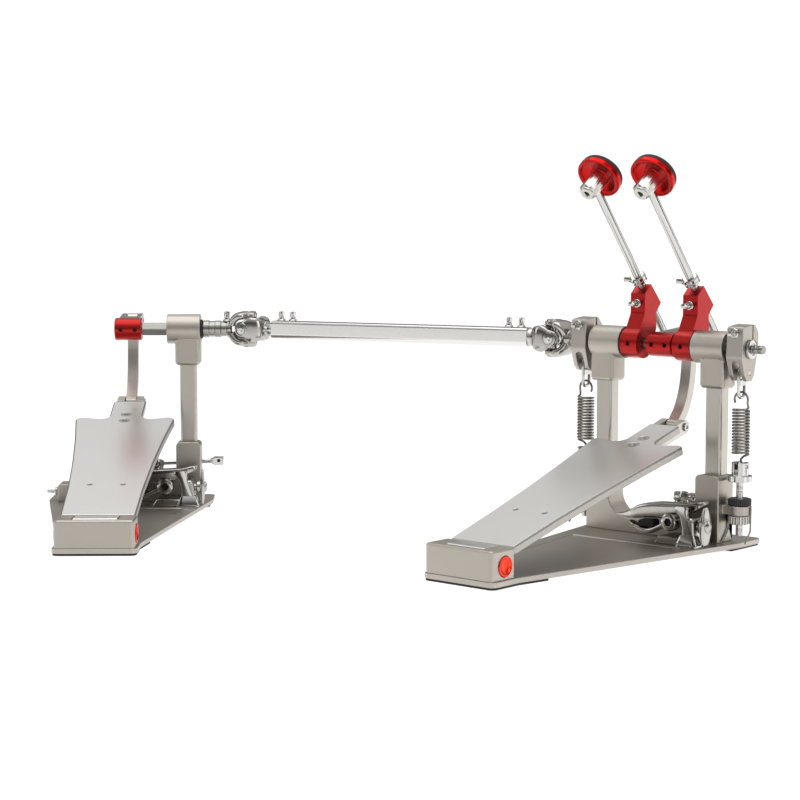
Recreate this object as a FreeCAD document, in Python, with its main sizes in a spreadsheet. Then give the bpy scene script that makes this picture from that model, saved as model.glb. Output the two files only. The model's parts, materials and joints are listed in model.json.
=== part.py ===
import math
import os
import re

import FreeCAD
import Part
import Sketcher

from FreeCAD import Placement, Rotation, Vector

# Double bass drum pedal: a primary pedal with two beaters, and a secondary pedal that drives
# the left beater through a telescoping shaft with two universal joints. Millimetres.
# Frame: the origin is on the floor below the middle of the primary axle, +X runs along that
# axle to the player's right, +Y points at the drum, +Z is up. The secondary pedal is drawn
# in the same way in a frame of its own and then placed.

doc = FreeCAD.newDocument("double_bass_drum_pedal")

SIZES = {
    # floor plate and its rubber pads
    "rubber_thickness": 2.2,
    "rubber_inset": 0.8,
    "plate_thickness": 5.0,
    "plate_front": -327.0,
    "plate_flare": -290.0,
    "plate_widest": 0.0,
    "plate_rear": 42.0,
    "plate_front_half": 42.0,
    "plate_rear_half": 92.0,
    "plate_corner": 7.0,
    "front_pad_end": -253.0,
    "rear_pad_start": -10.0,
    "recess_depth": 0.8,
    "recess_border": 15.0,
    "recess_end": -64.0,
    # line of the footboard, cam and link across each pedal
    "primary_drive_x": 3.0,
    "secondary_drive_x": 0.0,
    # heel block and hinge
    "heel_front": -326.0,
    "heel_rear": -293.0,
    "heel_half": 39.5,
    "heel_top": 35.0,
    "heel_slot_half": 23.0,
    "heel_slot_front": -318.0,
    "heel_slot_floor": 10.0,
    "hinge_forward": -307.0,
    "hinge_up": 19.5,
    "hinge_pin_radius": 3.0,
    "hinge_cap_radius": 9.7,
    "hinge_cap_proud": 1.2,
    "hinge_cap_depth": 1.5,
    "knuckle_radius": 6.5,
    # footboard, lying along its own slope
    "board_heel_forward": -292.0,
    "board_heel_up": 35.0,
    "board_run": 295.0,
    "board_rise": 83.5,
    "board_thickness": 7.5,
    "board_heel_half": 37.2,
    "board_wing_half": 55.3,
    "board_wing_at": 261.0,
    "board_neck_half": 18.0,
    "board_neck_at": 252.0,
    "board_bevel": 1.3,
    "neck_screw_a": 249.0,
    "neck_screw_b": 267.0,
    "neck_screw_radius": 6.0,
    "heel_screw_at": 75.0,
    "heel_screw_half": 17.0,
    "heel_screw_radius": 3.0,
    "screw_head_depth": 2.0,
    # toe bracket and direct drive link
    "toe_forward": 18.5,
    "toe_up": 115.5,
    "toe_eye_radius": 7.0,
    "toe_pin_radius": 2.5,
    "bracket_half": 14.4,
    "bracket_back": 242.0,
    "bracket_depth": 5.5,
    "link_half": 6.0,
    "link_slot_half": 6.6,
    "cam_pivot_forward": 45.0,
    "cam_pivot_up": 207.0,
    "cam_eye_radius": 8.0,
    "cam_pin_radius": 3.0,
    "cam_pin_play": 1.75,
    "cam_arm_half": 11.5,
    "cam_radius": 12.5,
    "cam_half": 15.0,
    # stand: feet, posts and bearing heads
    "axle_height": 200.0,
    "post_spread": 66.5,
    "post_width": 18.4,
    "post_depth": 16.0,
    "post_corner": 3.0,
    "socket_depth": 12.0,
    "foot_top": 74.0,
    "foot_half": 13.75,
    "foot_front": -17.0,
    "foot_rear": 10.0,
    "web_top": 22.0,
    "web_hump_top": 38.0,
    "head_bottom": 160.0,
    "head_half": 14.0,
    "head_half_depth": 12.5,
    "barrel_radius": 16.5,
    "barrel_inner": 43.5,
    "barrel_outer": 80.5,
    "bearing_radius": 11.0,
    "seal_thickness": 1.2,
    "seal_radius": 15.8,
    "outer_seal_thickness": 2.4,
    "outer_seal_radius": 10.6,
    # axles
    "axle_radius": 6.0,
    "axle_right_end": 119.0,
    "axle_split": -20.5,
    "pilot_radius": 3.0,
    "pilot_length": 9.0,
    # beater holders and beaters
    "hub_radius": 15.5,
    "hub_outer": 42.0,
    "hub_width": 20.5,
    "holder_width": 17.5,
    "rod_foot_forward": 50.0,
    "rod_foot_up": 208.0,
    "rod_head_forward": -75.0,
    "rod_head_up": 361.0,
    "rod_radius": 4.0,
    "collar_radius": 8.0,
    "collar_length": 9.0,
    "collar_from_foot": 69.5,
    "barrel_across": 17.0,
    "barrel_tip": 16.0,
    "disc_radius": 23.0,
    "disc_start": 8.0,
    "disc_thickness": 6.0,
    "pad_radius": 22.4,
    "pad_thickness": 5.0,
    # drum key bolts and set screws
    "key_shank_radius": 2.4,
    "key_flange_radius": 4.4,
    "key_flange_height": 2.2,
    "key_square_half": 2.3,
    "key_neck_radius": 3.0,
    "key_square_start": 5.0,
    "key_height": 10.5,
    "shaft_bolt_sunk": 2.5,
    "coupler_bolt_sunk": 1.5,
    "set_screw_radius": 2.2,
    "holder_key_radius": 2.6,
    "holder_key_up": 40.0,
    # spring cams, springs and tensioners
    "spring_spread": 94.25,
    "cam_cheek_half": 9.25,
    "cam_slot_half": 4.4,
    "hook_pin_drop": 23.0,
    "cam_key_up": 16.0,
    "hook_pin_radius": 2.4,
    "hook_wire_radius": 1.5,
    "hook_play": 1.3,
    "hook_length": 21.0,
    "spring_bottom": 94.0,
    "spring_top": 142.0,
    "spring_outer": 9.0,
    "spring_wire": 1.1,
    "spring_pitch": 3.2,
    "anchor_up": 84.0,
    "tension_rod_radius": 3.5,
    "tension_rod_bottom": 15.0,
    "tension_collar_radius": 12.0,
    "tension_collar_bottom": 69.0,
    "tension_collar_top": 75.0,
    "clevis_top": 88.0,
    "clevis_radius": 8.5,
    "clevis_gap_half": 2.2,
    "clevis_pin_radius": 1.5,
    "boss_bottom": 36.0,
    "boss_top": 45.0,
    "boss_radius": 12.0,
    "lock_knob_radius": 11.7,
    "lock_knob_height": 7.0,
    "nut_radius": 11.5,
    "nut_height": 9.0,
    "bail_wire_radius": 0.9,
    # hoop clamp
    "rocker_across": 43.0,
    "rocker_up": 30.0,
    "rocker_radius": 5.0,
    "rocker_front": -46.0,
    "rocker_rear": 38.0,
    "jaw_thickness": 9.0,
    "jaw_reach": 46.0,
    "jaw_start": 15.0,
    "jaw_pad_thickness": 3.0,
    "clamp_foot_top": 19.0,
    "web_bolt_across": 30.0,
    "wing_screw_start": 62.0,
    "wing_screw_end": 84.0,
    "wing_screw_forward": -46.0,
    "wing_screw_up": 28.0,
    "wing_screw_radius": 3.5,
    "wing_half": 19.0,
    # universal joints and telescoping shaft
    "primary_joint_out": 136.0,
    "secondary_joint_out": 134.5,
    "joint_radius": 19.5,
    "fork_half": 9.0,
    "fork_inner": 12.2,
    "fork_tip": 8.0,
    "fork_base": 15.0,
    "fork_depth": 7.0,
    "fork_hub_radius": 8.5,
    "cross_pin_radius": 3.4,
    "cross_core_radius": 8.0,
    "cross_play": 0.7,
    "bar_start": 32.0,
    "bar_end": 334.0,
    "bar_width": 20.0,
    "bar_bore": 7.0,
    "bar_corner": 3.0,
    "inner_rod_length": 150.0,
    "primary_rod_length": 77.0,
    "coupler_start": 84.0,
    "coupler_radius": 9.5,
    "coupler_bolt_at": 110.0,
    # where the secondary pedal stands
    "secondary_along": -580.0,
    "secondary_back": -201.0,
    "secondary_turn": 42.2,
    # fits
    "running_clearance": 0.05,
    "seat_clearance": 0.02,
    "side_clearance": 0.4,
}

sheet = doc.addObject("Spreadsheet::Sheet", "Sizes")
for row, (alias, number) in enumerate(SIZES.items(), start=1):
    sheet.set(f"A{row}", alias)
    sheet.set(f"B{row}", str(number))
    sheet.setAlias(f"B{row}", alias)
doc.recompute()

PLATE_TOP = "(rubber_thickness + plate_thickness)"


def formula(text):
    """The text as an expression of the document, with each size read from the sheet."""
    def cell(match):
        word = match.group(0)
        return "Sizes." + word if word in SIZES else word
    return re.sub(r"[a-z_]+", cell, str(text))


def bind(thing, path, text):
    thing.setExpression(path, formula(text))


def measure(name):
    """One size from the sheet, for a direction or a count worked out in this file."""
    return float(sheet.get(name))


# ---------------------------------------------------------------- bodies and sketches

PLANES = {"XY": "XY_Plane", "XZ": "XZ_Plane", "YZ": "YZ_Plane"}


class Piece:
    """A PartDesign body, drawn by prisms along X, Y or Z in its pedal's own frame."""

    def __init__(self, label):
        self.body = doc.addObject("PartDesign::Body", label)
        self.body.Label = label
        if hasattr(self.body, "AllowCompound"):
            self.body.AllowCompound = True
        self.label = label

    def sketch(self, plane, level):
        drawing = self.body.newObject("Sketcher::SketchObject", self.label + "_sketch")
        origin = [item for item in self.body.Origin.OriginFeatures if item.Role == PLANES[plane]]
        drawing.AttachmentSupport = [(origin[0], "")]
        drawing.MapMode = "FlatFace"
        sign = -1 if plane == "XZ" else 1
        bind(drawing, "AttachmentOffset.Base.z", f"{sign} * ({level})")
        return drawing

    def polygon(self, drawing, outline):
        """A closed outline whose corners are (x, y) or (x, y, corner radius)."""
        count = len(outline)
        for index in range(count):
            turn = 2 * math.pi * index / count
            after = 2 * math.pi * (index + 1) / count
            start = Vector(10 * math.cos(turn), 10 * math.sin(turn), 0)
            end = Vector(10 * math.cos(after), 10 * math.sin(after), 0)
            drawing.addGeometry(Part.LineSegment(start, end), False)
        for index in range(count):
            drawing.addConstraint(Sketcher.Constraint("Coincident", index, 2, (index + 1) % count, 1))
        for index, corner in enumerate(outline):
            for kind, text in (("DistanceX", corner[0]), ("DistanceY", corner[1])):
                place = drawing.addConstraint(Sketcher.Constraint(kind, -1, 1, index, 1, 1.0))
                bind(drawing, f"Constraints[{place}]", text)

    def circle(self, drawing, across, up, radius):
        where = drawing.addGeometry(Part.Circle(Vector(0, 0, 0), Vector(0, 0, 1), 1.0), False)
        for kind, text in (("DistanceX", across), ("DistanceY", up)):
            place = drawing.addConstraint(Sketcher.Constraint(kind, -1, 1, where, 3, 1.0))
            bind(drawing, f"Constraints[{place}]", text)
        place = drawing.addConstraint(Sketcher.Constraint("Radius", where, 1.0))
        bind(drawing, f"Constraints[{place}]", radius)

    def corners(self, feature, drawing, outline):
        """Rounds the prism's edges that stand on the outline's corners."""
        doc.recompute()
        normal = drawing.Placement.Rotation.multVec(Vector(0, 0, 1))
        radii = []
        for corner in outline:
            if len(corner) > 2 and corner[2] not in radii:
                radii.append(corner[2])
        for radius in radii:
            points = [drawing.Placement.multVec(drawing.Geometry[index].StartPoint)
                      for index, corner in enumerate(outline) if len(corner) > 2 and corner[2] == radius]
            names = []
            for number, edge in enumerate(self.body.Tip.Shape.Edges, start=1):
                if not isinstance(edge.Curve, Part.Line):
                    continue
                if abs(abs(edge.tangentAt(edge.FirstParameter).dot(normal)) - 1) > 1e-6:
                    continue
                for point in points:
                    offset = edge.Vertexes[0].Point - point
                    if (offset - normal * offset.dot(normal)).Length < 1e-4:
                        names.append(f"Edge{number}")
                        break
            square = self.body.Tip
            rounding = self.body.newObject("PartDesign::Fillet", self.label + "_round")
            rounding.Base = (square, names)
            bind(rounding, "Radius", radius)
            self.body.Tip = rounding
            doc.recompute()

    def add(self, plane, low, high, outline=None, circle=None):
        drawing = self.sketch(plane, high if plane == "XZ" else low)
        if circle:
            self.circle(drawing, *circle)
        else:
            self.polygon(drawing, outline)
        pad = self.body.newObject("PartDesign::Pad", self.label + "_pad")
        pad.Profile = drawing
        bind(pad, "Length", f"({high}) - ({low})")
        self.body.Tip = pad
        if outline:
            self.corners(pad, drawing, outline)
        return self

    def cut(self, plane, low, high, outline=None, circle=None):
        drawing = self.sketch(plane, low if plane == "XZ" else high)
        if circle:
            self.circle(drawing, *circle)
        else:
            self.polygon(drawing, outline)
        pocket = self.body.newObject("PartDesign::Pocket", self.label + "_pocket")
        pocket.Profile = drawing
        bind(pocket, "Length", f"({high}) - ({low})")
        self.body.Tip = pocket
        if outline:
            self.corners(pocket, drawing, outline)
        return self

    def bevel(self, size, wanted):
        doc.recompute()
        sharp = self.body.Tip
        names = [f"Edge{number}" for number, edge in enumerate(sharp.Shape.Edges, start=1) if wanted(edge)]
        chamfer = self.body.newObject("PartDesign::Chamfer", self.label + "_bevel")
        chamfer.Base = (sharp, names)
        bind(chamfer, "Size", size)
        self.body.Tip = chamfer
        doc.recompute()
        return self


# ---------------------------------------------------------------- primitives

KINDS = {"X": Rotation(Vector(0, 1, 0), 90), "Y": Rotation(Vector(1, 0, 0), -90), "Z": Rotation()}


def solid(kind, label, at, axis="Z", **sizes):
    """A Part primitive whose sizes and place are bound to the sheet."""
    thing = doc.addObject("Part::" + kind, label)
    thing.Placement = Placement(Vector(), KINDS[axis])
    for name, text in sizes.items():
        bind(thing, name, text)
    for letter, text in zip("xyz", at):
        bind(thing, f"Placement.Base.{letter}", text)
    return thing


def rod(label, radius, length, at, axis="Z"):
    return solid("Cylinder", label, at, axis, Radius=radius, Height=length)


def block(label, low, high):
    return solid("Box", label, low, Length=f"({high[0]}) - ({low[0]})",
                 Width=f"({high[1]}) - ({low[1]})", Height=f"({high[2]}) - ({low[2]})")


def less(label, base, tools):
    """The base with each tool cut away."""
    for tool in tools:
        cut = doc.addObject("Part::Cut", label)
        cut.Base = getattr(base, "body", base)
        cut.Tool = getattr(tool, "body", tool)
        base = cut
    base.Label = label
    return base


def joined(label, shapes):
    fuse = doc.addObject("Part::MultiFuse", label)
    fuse.Shapes = [getattr(shape, "body", shape) for shape in shapes]
    fuse.Label = label
    return fuse


def group(label, shapes):
    """Like pieces that stay separate solids in one node."""
    many = doc.addObject("Part::Compound", label)
    many.Links = [getattr(shape, "body", shape) for shape in shapes]
    many.Label = label
    return many


nodes = []


def place(thing, label, frame=None):
    """Names a sub-part, puts it in its frame and lists it for writing."""
    thing = getattr(thing, "body", thing)
    for other in doc.getObjectsByLabel(label):
        other.Label = label + "_blank"
    thing.Label = label
    if frame is not None:
        thing.Placement = frame.multiply(thing.Placement)
    nodes.append(thing)
    return thing


def turned(vector, degrees):
    return Placement(vector, Rotation(Vector(0, 0, 1), degrees))


home = Placement()
away = turned(Vector(measure("secondary_along"), measure("secondary_back"), 0), measure("secondary_turn"))

# Each pedal: name, frame, the line of its footboard, and the sides that carry a bearing head.
PEDALS = (
    ("primary", home, "primary_drive_x", (-1, 1)),
    ("secondary", away, "secondary_drive_x", (1,)),
)


# ---------------------------------------------------------------- floor plate, pads and heel

def mirrored(middle, right_side):
    """An outline from its right half, listed from the front to the rear."""
    right = [(f"{middle} + ({c[0]})",) + tuple(c[1:]) for c in right_side]
    left = [(f"{middle} - ({c[0]})",) + tuple(c[1:]) for c in reversed(right_side)]
    return right + left


def plate_half(at):
    """The plate's half width where its sides flare."""
    spread = "(plate_rear_half - plate_front_half)"
    return f"(plate_front_half + {spread} * (({at}) - plate_flare) / (plate_widest - plate_flare))"


def floor_plate(name, frame, middle):
    outline = mirrored(middle, [
        ("plate_front_half", "plate_front", "plate_corner"),
        ("plate_front_half", "plate_flare"),
        ("plate_rear_half", "plate_widest"),
        ("plate_rear_half", "plate_rear", "plate_corner"),
    ])
    plate = Piece(f"{name}_base_plate").add("XY", "rubber_thickness", PLATE_TOP, outline)
    recess = mirrored(middle, [
        (f"{plate_half('heel_rear')} - recess_border", "heel_rear + 4"),
        (f"{plate_half('recess_end')} - recess_border", "recess_end", 3),
    ])
    plate.cut("XY", f"{PLATE_TOP} - recess_depth", f"{PLATE_TOP} + 1", recess)
    place(plate, f"{name}_base_plate", frame)

    pads = Piece(f"{name}_foot_pads")
    pads.add("XY", 0, "rubber_thickness", mirrored(middle, [
        ("plate_front_half - rubber_inset", "plate_front + rubber_inset", "plate_corner - rubber_inset"),
        ("plate_front_half - rubber_inset", "plate_flare"),
        (f"{plate_half('front_pad_end')} - rubber_inset", "front_pad_end"),
    ]))
    pads.add("XY", 0, "rubber_thickness", mirrored(middle, [
        (f"{plate_half('rear_pad_start')} - rubber_inset", "rear_pad_start"),
        (f"{plate_half('rear_pad_start')} - rubber_inset", "plate_rear - rubber_inset", 4),
    ]))
    place(pads, f"{name}_foot_pads", frame)


def heel_block(name, frame, middle):
    heel = Piece(f"{name}_heel_block")
    heel.add("XY", PLATE_TOP, "heel_top", mirrored(middle, [
        ("heel_half", "heel_front", 4), ("heel_half", "heel_rear", 2)]))
    heel.bevel(1.5, lambda edge: edge.BoundBox.ZMin > measure("heel_top") - 0.01)
    heel.cut("XY", "heel_slot_floor", "heel_top + 1", mirrored(middle, [
        ("heel_slot_half", "heel_slot_front", 1.5), ("heel_slot_half", "heel_rear + 1")]))
    heel.cut("YZ", f"{middle} - heel_half - 1", f"{middle} + heel_half + 1",
             circle=("hinge_forward", "hinge_up", "hinge_pin_radius + seat_clearance"))
    for low, high in ((f"{middle} - heel_half - 1", f"{middle} - heel_half + hinge_cap_depth"),
                      (f"{middle} + heel_half - hinge_cap_depth", f"{middle} + heel_half + 1")):
        heel.cut("YZ", low, high,
                 circle=("hinge_forward", "hinge_up", "hinge_cap_radius + seat_clearance"))
    place(heel, f"{name}_heel_block", frame)

    pin = rod(f"{name}_hinge_pin", "hinge_pin_radius", "2 * (heel_half - hinge_cap_depth)",
              (f"{middle} - heel_half + hinge_cap_depth", "hinge_forward", "hinge_up"), "X")
    caps = [pin]
    for side, start, dish in (
            (-1, f"{middle} - heel_half - hinge_cap_proud", f"{middle} - heel_half - hinge_cap_proud"),
            (1, f"{middle} + heel_half - hinge_cap_depth", f"{middle} + heel_half - 0.3")):
        disc = rod(f"{name}_cap", "hinge_cap_radius", "hinge_cap_proud + hinge_cap_depth",
                   (start, "hinge_forward", "hinge_up"), "X")
        wide, narrow = ("hinge_cap_radius - 1.5", "hinge_cap_radius - 4")
        if side > 0:
            wide, narrow = narrow, wide
        bowl = solid("Cone", f"{name}_dish", (dish, "hinge_forward", "hinge_up"), "X",
                     Radius1=wide, Radius2=narrow, Height="hinge_cap_proud + 0.3")
        caps.append(less(f"{name}_cap_dished", disc, [bowl]))
    place(group(f"{name}_hinge_caps", caps), f"{name}_hinge_pin_and_caps", frame)


# ---------------------------------------------------------------- footboard and drive link

def under_board(at):
    """Height of the footboard's underside at a distance forward."""
    rise = f"(({at}) - board_heel_forward) * board_rise / board_run"
    return f"(board_heel_up + {rise} - board_thickness * hypot(board_run; board_rise) / board_run)"


def board_frame(frame, middle):
    slope = math.degrees(math.atan2(measure("board_rise"), measure("board_run")))
    heel = Vector(measure(middle), measure("board_heel_forward"), measure("board_heel_up"))
    return frame.multiply(Placement(heel, Rotation(Vector(1, 0, 0), slope)))


def toe_along():
    """The toe pivot in the footboard's own frame: along the board and out from its top face."""
    slope = math.atan2(measure("board_rise"), measure("board_run"))
    forward = measure("toe_forward") - measure("board_heel_forward")
    up = measure("toe_up") - measure("board_heel_up")
    along = forward * math.cos(slope) + up * math.sin(slope)
    out = up * math.cos(slope) - forward * math.sin(slope)
    return along, out


def footboard(name, frame, middle):
    lie = board_frame(frame, middle)
    length = "hypot(board_run; board_rise)"
    along, out = toe_along()

    # The sides flare along a gentle curve from the heel to the wings.
    flare = "(board_wing_half - board_heel_half)"
    sides = [(f"board_heel_half + {flare} * {share} ^ 1.8", f"board_wing_at * {share}")
             for share in (0.25, 0.5, 0.75)]
    board = Piece(f"{name}_footboard").add("XY", "-board_thickness", 0, mirrored("0", [
        ("board_heel_half", "0", 3),
        *sides,
        ("board_wing_half", "board_wing_at", 7),
        ("board_neck_half", "board_neck_at", 10),
        ("board_neck_half", length, 3),
    ]))
    board.bevel("board_bevel", lambda edge: edge.BoundBox.ZMin > -0.01)
    screws = [(0, "neck_screw_a", "neck_screw_radius"), (0, "neck_screw_b", "neck_screw_radius"),
              ("heel_screw_half", "heel_screw_at", "heel_screw_radius"),
              ("-heel_screw_half", "heel_screw_at", "heel_screw_radius")]
    heads = []
    for across, at, radius in screws:
        board.cut("XY", "-screw_head_depth", 1, circle=(across, at, f"{radius} + seat_clearance"))
        heads.append(rod(f"{name}_screw", radius, "screw_head_depth - 0.2",
                         (across, at, "-screw_head_depth")))
    place(board, f"{name}_footboard", lie)
    sockets = [less(f"{name}_screw_cut", head,
                    [solid("Prism", f"{name}_hex", (across, at, "-screw_head_depth + 0.8"),
                           Polygon=6, Circumradius=f"{radius} * 0.5", Height=3)])
               for head, (across, at, radius) in zip(heads, screws)]

    # The toe bracket is screwed under the neck and carries the link's lower pin in two ears.
    bracket = Piece(f"{name}_toe_bracket")
    bracket.add("YZ", "-bracket_half", "bracket_half", [
        ("bracket_back", "-board_thickness"),
        ("bracket_back", "-board_thickness - 2.5"),
        ("bracket_back + 20", "-board_thickness - bracket_depth", 8),
        (along, out - measure("toe_eye_radius")),
        (along, out + measure("toe_eye_radius")),
        (f"{length} + 0.3", out + measure("toe_eye_radius")),
        (f"{length} + 0.3", "-board_thickness"),
    ])
    bracket.add("YZ", "-bracket_half", "bracket_half", circle=(along, out, "toe_eye_radius"))
    bracket.cut("XY", -30, 10, [
        ("-link_slot_half", f"{length} - 9"), ("link_slot_half", f"{length} - 9"),
        ("link_slot_half", f"{length} + 40"), ("-link_slot_half", f"{length} + 40")])
    bracket.cut("YZ", "-bracket_half - 1", "bracket_half + 1",
                circle=(along, out, "toe_pin_radius + seat_clearance"))
    bracket.body.Placement = board_frame(home, middle)

    shank = rod(f"{name}_toe_shank", "toe_pin_radius", "2 * bracket_half", ("-bracket_half", along, out), "X")
    head = rod(f"{name}_toe_head", "toe_pin_radius + 1.8", 2, ("bracket_half", along, out), "X")
    tail = rod(f"{name}_toe_tail", "toe_pin_radius + 1.8", 2, ("-bracket_half - 2", along, out), "X")
    hexes = [solid("Prism", f"{name}_toe_hex", (text, along, out), "X",
                   Polygon=6, Circumradius=2, Height=1.2)
             for text in ("bracket_half + 1", "-bracket_half - 2.2")]
    pin = less(f"{name}_toe_pin", joined(f"{name}_toe_pin_body", [shank, head, tail]), hexes)
    place(group(f"{name}_board_fasteners", sockets + [pin]), f"{name}_footboard_screws", lie)

    # The hinge leaf is screwed under the heel and turns on the pin inside the heel block.
    leaf = Piece(f"{name}_hinge_leaf")
    low, high = (f"{middle} - heel_slot_half + side_clearance", f"{middle} + heel_slot_half - side_clearance")
    leaf.add("YZ", low, high, [
        ("heel_slot_front + 2.5", "heel_top - 2.5"),
        ("heel_rear - 0.5", "heel_top - 2.5"),
        ("heel_rear - 0.5", under_board("heel_rear - 0.5") + " - 0.3"),
        ("board_heel_forward + 1", under_board("board_heel_forward + 1")),
        ("board_heel_forward + 35", under_board("board_heel_forward + 35")),
        ("board_heel_forward + 35", under_board("board_heel_forward + 35") + " - 5"),
        ("hinge_forward + 7", "hinge_up - 1"),
        ("hinge_forward", "hinge_up - knuckle_radius + 1"),
        ("heel_slot_front + 4.5", "hinge_up"),
    ])
    leaf.add("YZ", low, high, circle=("hinge_forward", "hinge_up", "knuckle_radius"))
    leaf.cut("YZ", f"{middle} - heel_half", f"{middle} + heel_half",
             circle=("hinge_forward", "hinge_up", "hinge_pin_radius + running_clearance"))
    place(group(f"{name}_board_fittings", [leaf, bracket]), f"{name}_heel_leaf_and_toe_bracket", frame)


def drive_link(name, frame, middle):
    low, high = f"{middle} - link_half", f"{middle} + link_half"
    link = Piece(f"{name}_drive_link")
    link.add("YZ", low, high, [
        ("cam_pivot_forward - 5.2", "cam_pivot_up"),
        ("cam_pivot_forward - 5.2", "cam_pivot_up - 30", 30),
        ("cam_pivot_forward - 13", "cam_pivot_up - 64", 22),
        ("toe_forward - 3", "toe_up + 5.5"),
        ("toe_forward + 6", "toe_up - 3.5"),
        ("cam_pivot_forward - 2", "cam_pivot_up - 68", 24),
        ("cam_pivot_forward + 5.2", "cam_pivot_up - 30", 30),
        ("cam_pivot_forward + 5.2", "cam_pivot_up"),
    ])
    link.add("YZ", low, high, circle=("cam_pivot_forward", "cam_pivot_up", "cam_eye_radius"))
    link.add("YZ", low, high, circle=("toe_forward", "toe_up", "toe_eye_radius - 0.3"))
    link.cut("YZ", f"{low} - 1", f"{high} + 1",
             circle=("cam_pivot_forward", "cam_pivot_up", "cam_pin_radius + cam_pin_play"))
    link.cut("YZ", f"{low} - 1", f"{high} + 1",
             circle=("toe_forward", "toe_up", "toe_pin_radius + running_clearance"))
    place(link, f"{name}_drive_link", frame)


def drive_cam(name, frame, middle):
    """The red cam on the axle, its silver arms behind it, and the pin that carries the link."""
    low, high = f"{middle} - cam_half", f"{middle} + cam_half"
    cam = Piece(f"{name}_drive_cam").add("YZ", low, high, circle=(0, "axle_height", "cam_radius"))
    cam.bevel(0.8, lambda edge: edge.Length > 2 * math.pi * (measure("cam_radius") - 0.1))
    cam.cut("YZ", f"{low} - 1", f"{high} + 1", circle=(0, "axle_height", "axle_radius + seat_clearance"))
    for offset in ("-8", "+ 8"):
        cam.cut("XZ", "-cam_radius - 1", "-cam_radius + 5",
                circle=(f"{middle} {offset}", "axle_height", "set_screw_radius"))

    arms = Piece(f"{name}_drive_arms")
    arms.add("YZ", f"{middle} - cam_arm_half", f"{middle} + cam_arm_half", [
        (4, "axle_height - 11"), ("cam_pivot_forward - 2", "cam_pivot_up - cam_eye_radius", 2),
        ("cam_pivot_forward - 2", "cam_pivot_up + cam_eye_radius", 2), (4, "axle_height + 12")])
    arms.add("YZ", f"{middle} - cam_arm_half", f"{middle} + cam_arm_half",
             circle=("cam_pivot_forward", "cam_pivot_up", "cam_eye_radius"))
    arms.cut("XY", "axle_height - 40", "axle_height + 60", [
        (f"{middle} - link_slot_half", "cam_radius + 7"), (f"{middle} + link_slot_half", "cam_radius + 7"),
        (f"{middle} + link_slot_half", 80), (f"{middle} - link_slot_half", 80)])
    arms.cut("YZ", f"{middle} - cam_arm_half - 1", f"{middle} + cam_arm_half + 1",
             circle=(0, "axle_height", "cam_radius + seat_clearance"))
    arms.cut("YZ", f"{middle} - cam_arm_half - 1", f"{middle} + cam_arm_half + 1",
             circle=("cam_pivot_forward", "cam_pivot_up", "cam_pin_radius + seat_clearance"))
    pin = rod(f"{name}_cam_pin", "cam_pin_radius", "2 * cam_arm_half + 2",
              (f"{middle} - cam_arm_half - 1", "cam_pivot_forward", "cam_pivot_up"), "X")
    place(group(f"{name}_cam_and_arms", [cam, arms, pin]), f"{name}_drive_cam", frame)


# ---------------------------------------------------------------- stand

def post_outline(across, play=""):
    """The post's rounded section, or with play the socket it stands in."""
    wide, deep = f"post_width / 2 {play}", f"post_depth / 2 {play}"
    return [(f"{across} + {wide}", deep, "post_corner"), (f"{across} - ({wide})", deep, "post_corner"),
            (f"{across} - ({wide})", f"-({deep})", "post_corner"),
            (f"{across} + {wide}", f"-({deep})", "post_corner")]


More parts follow.
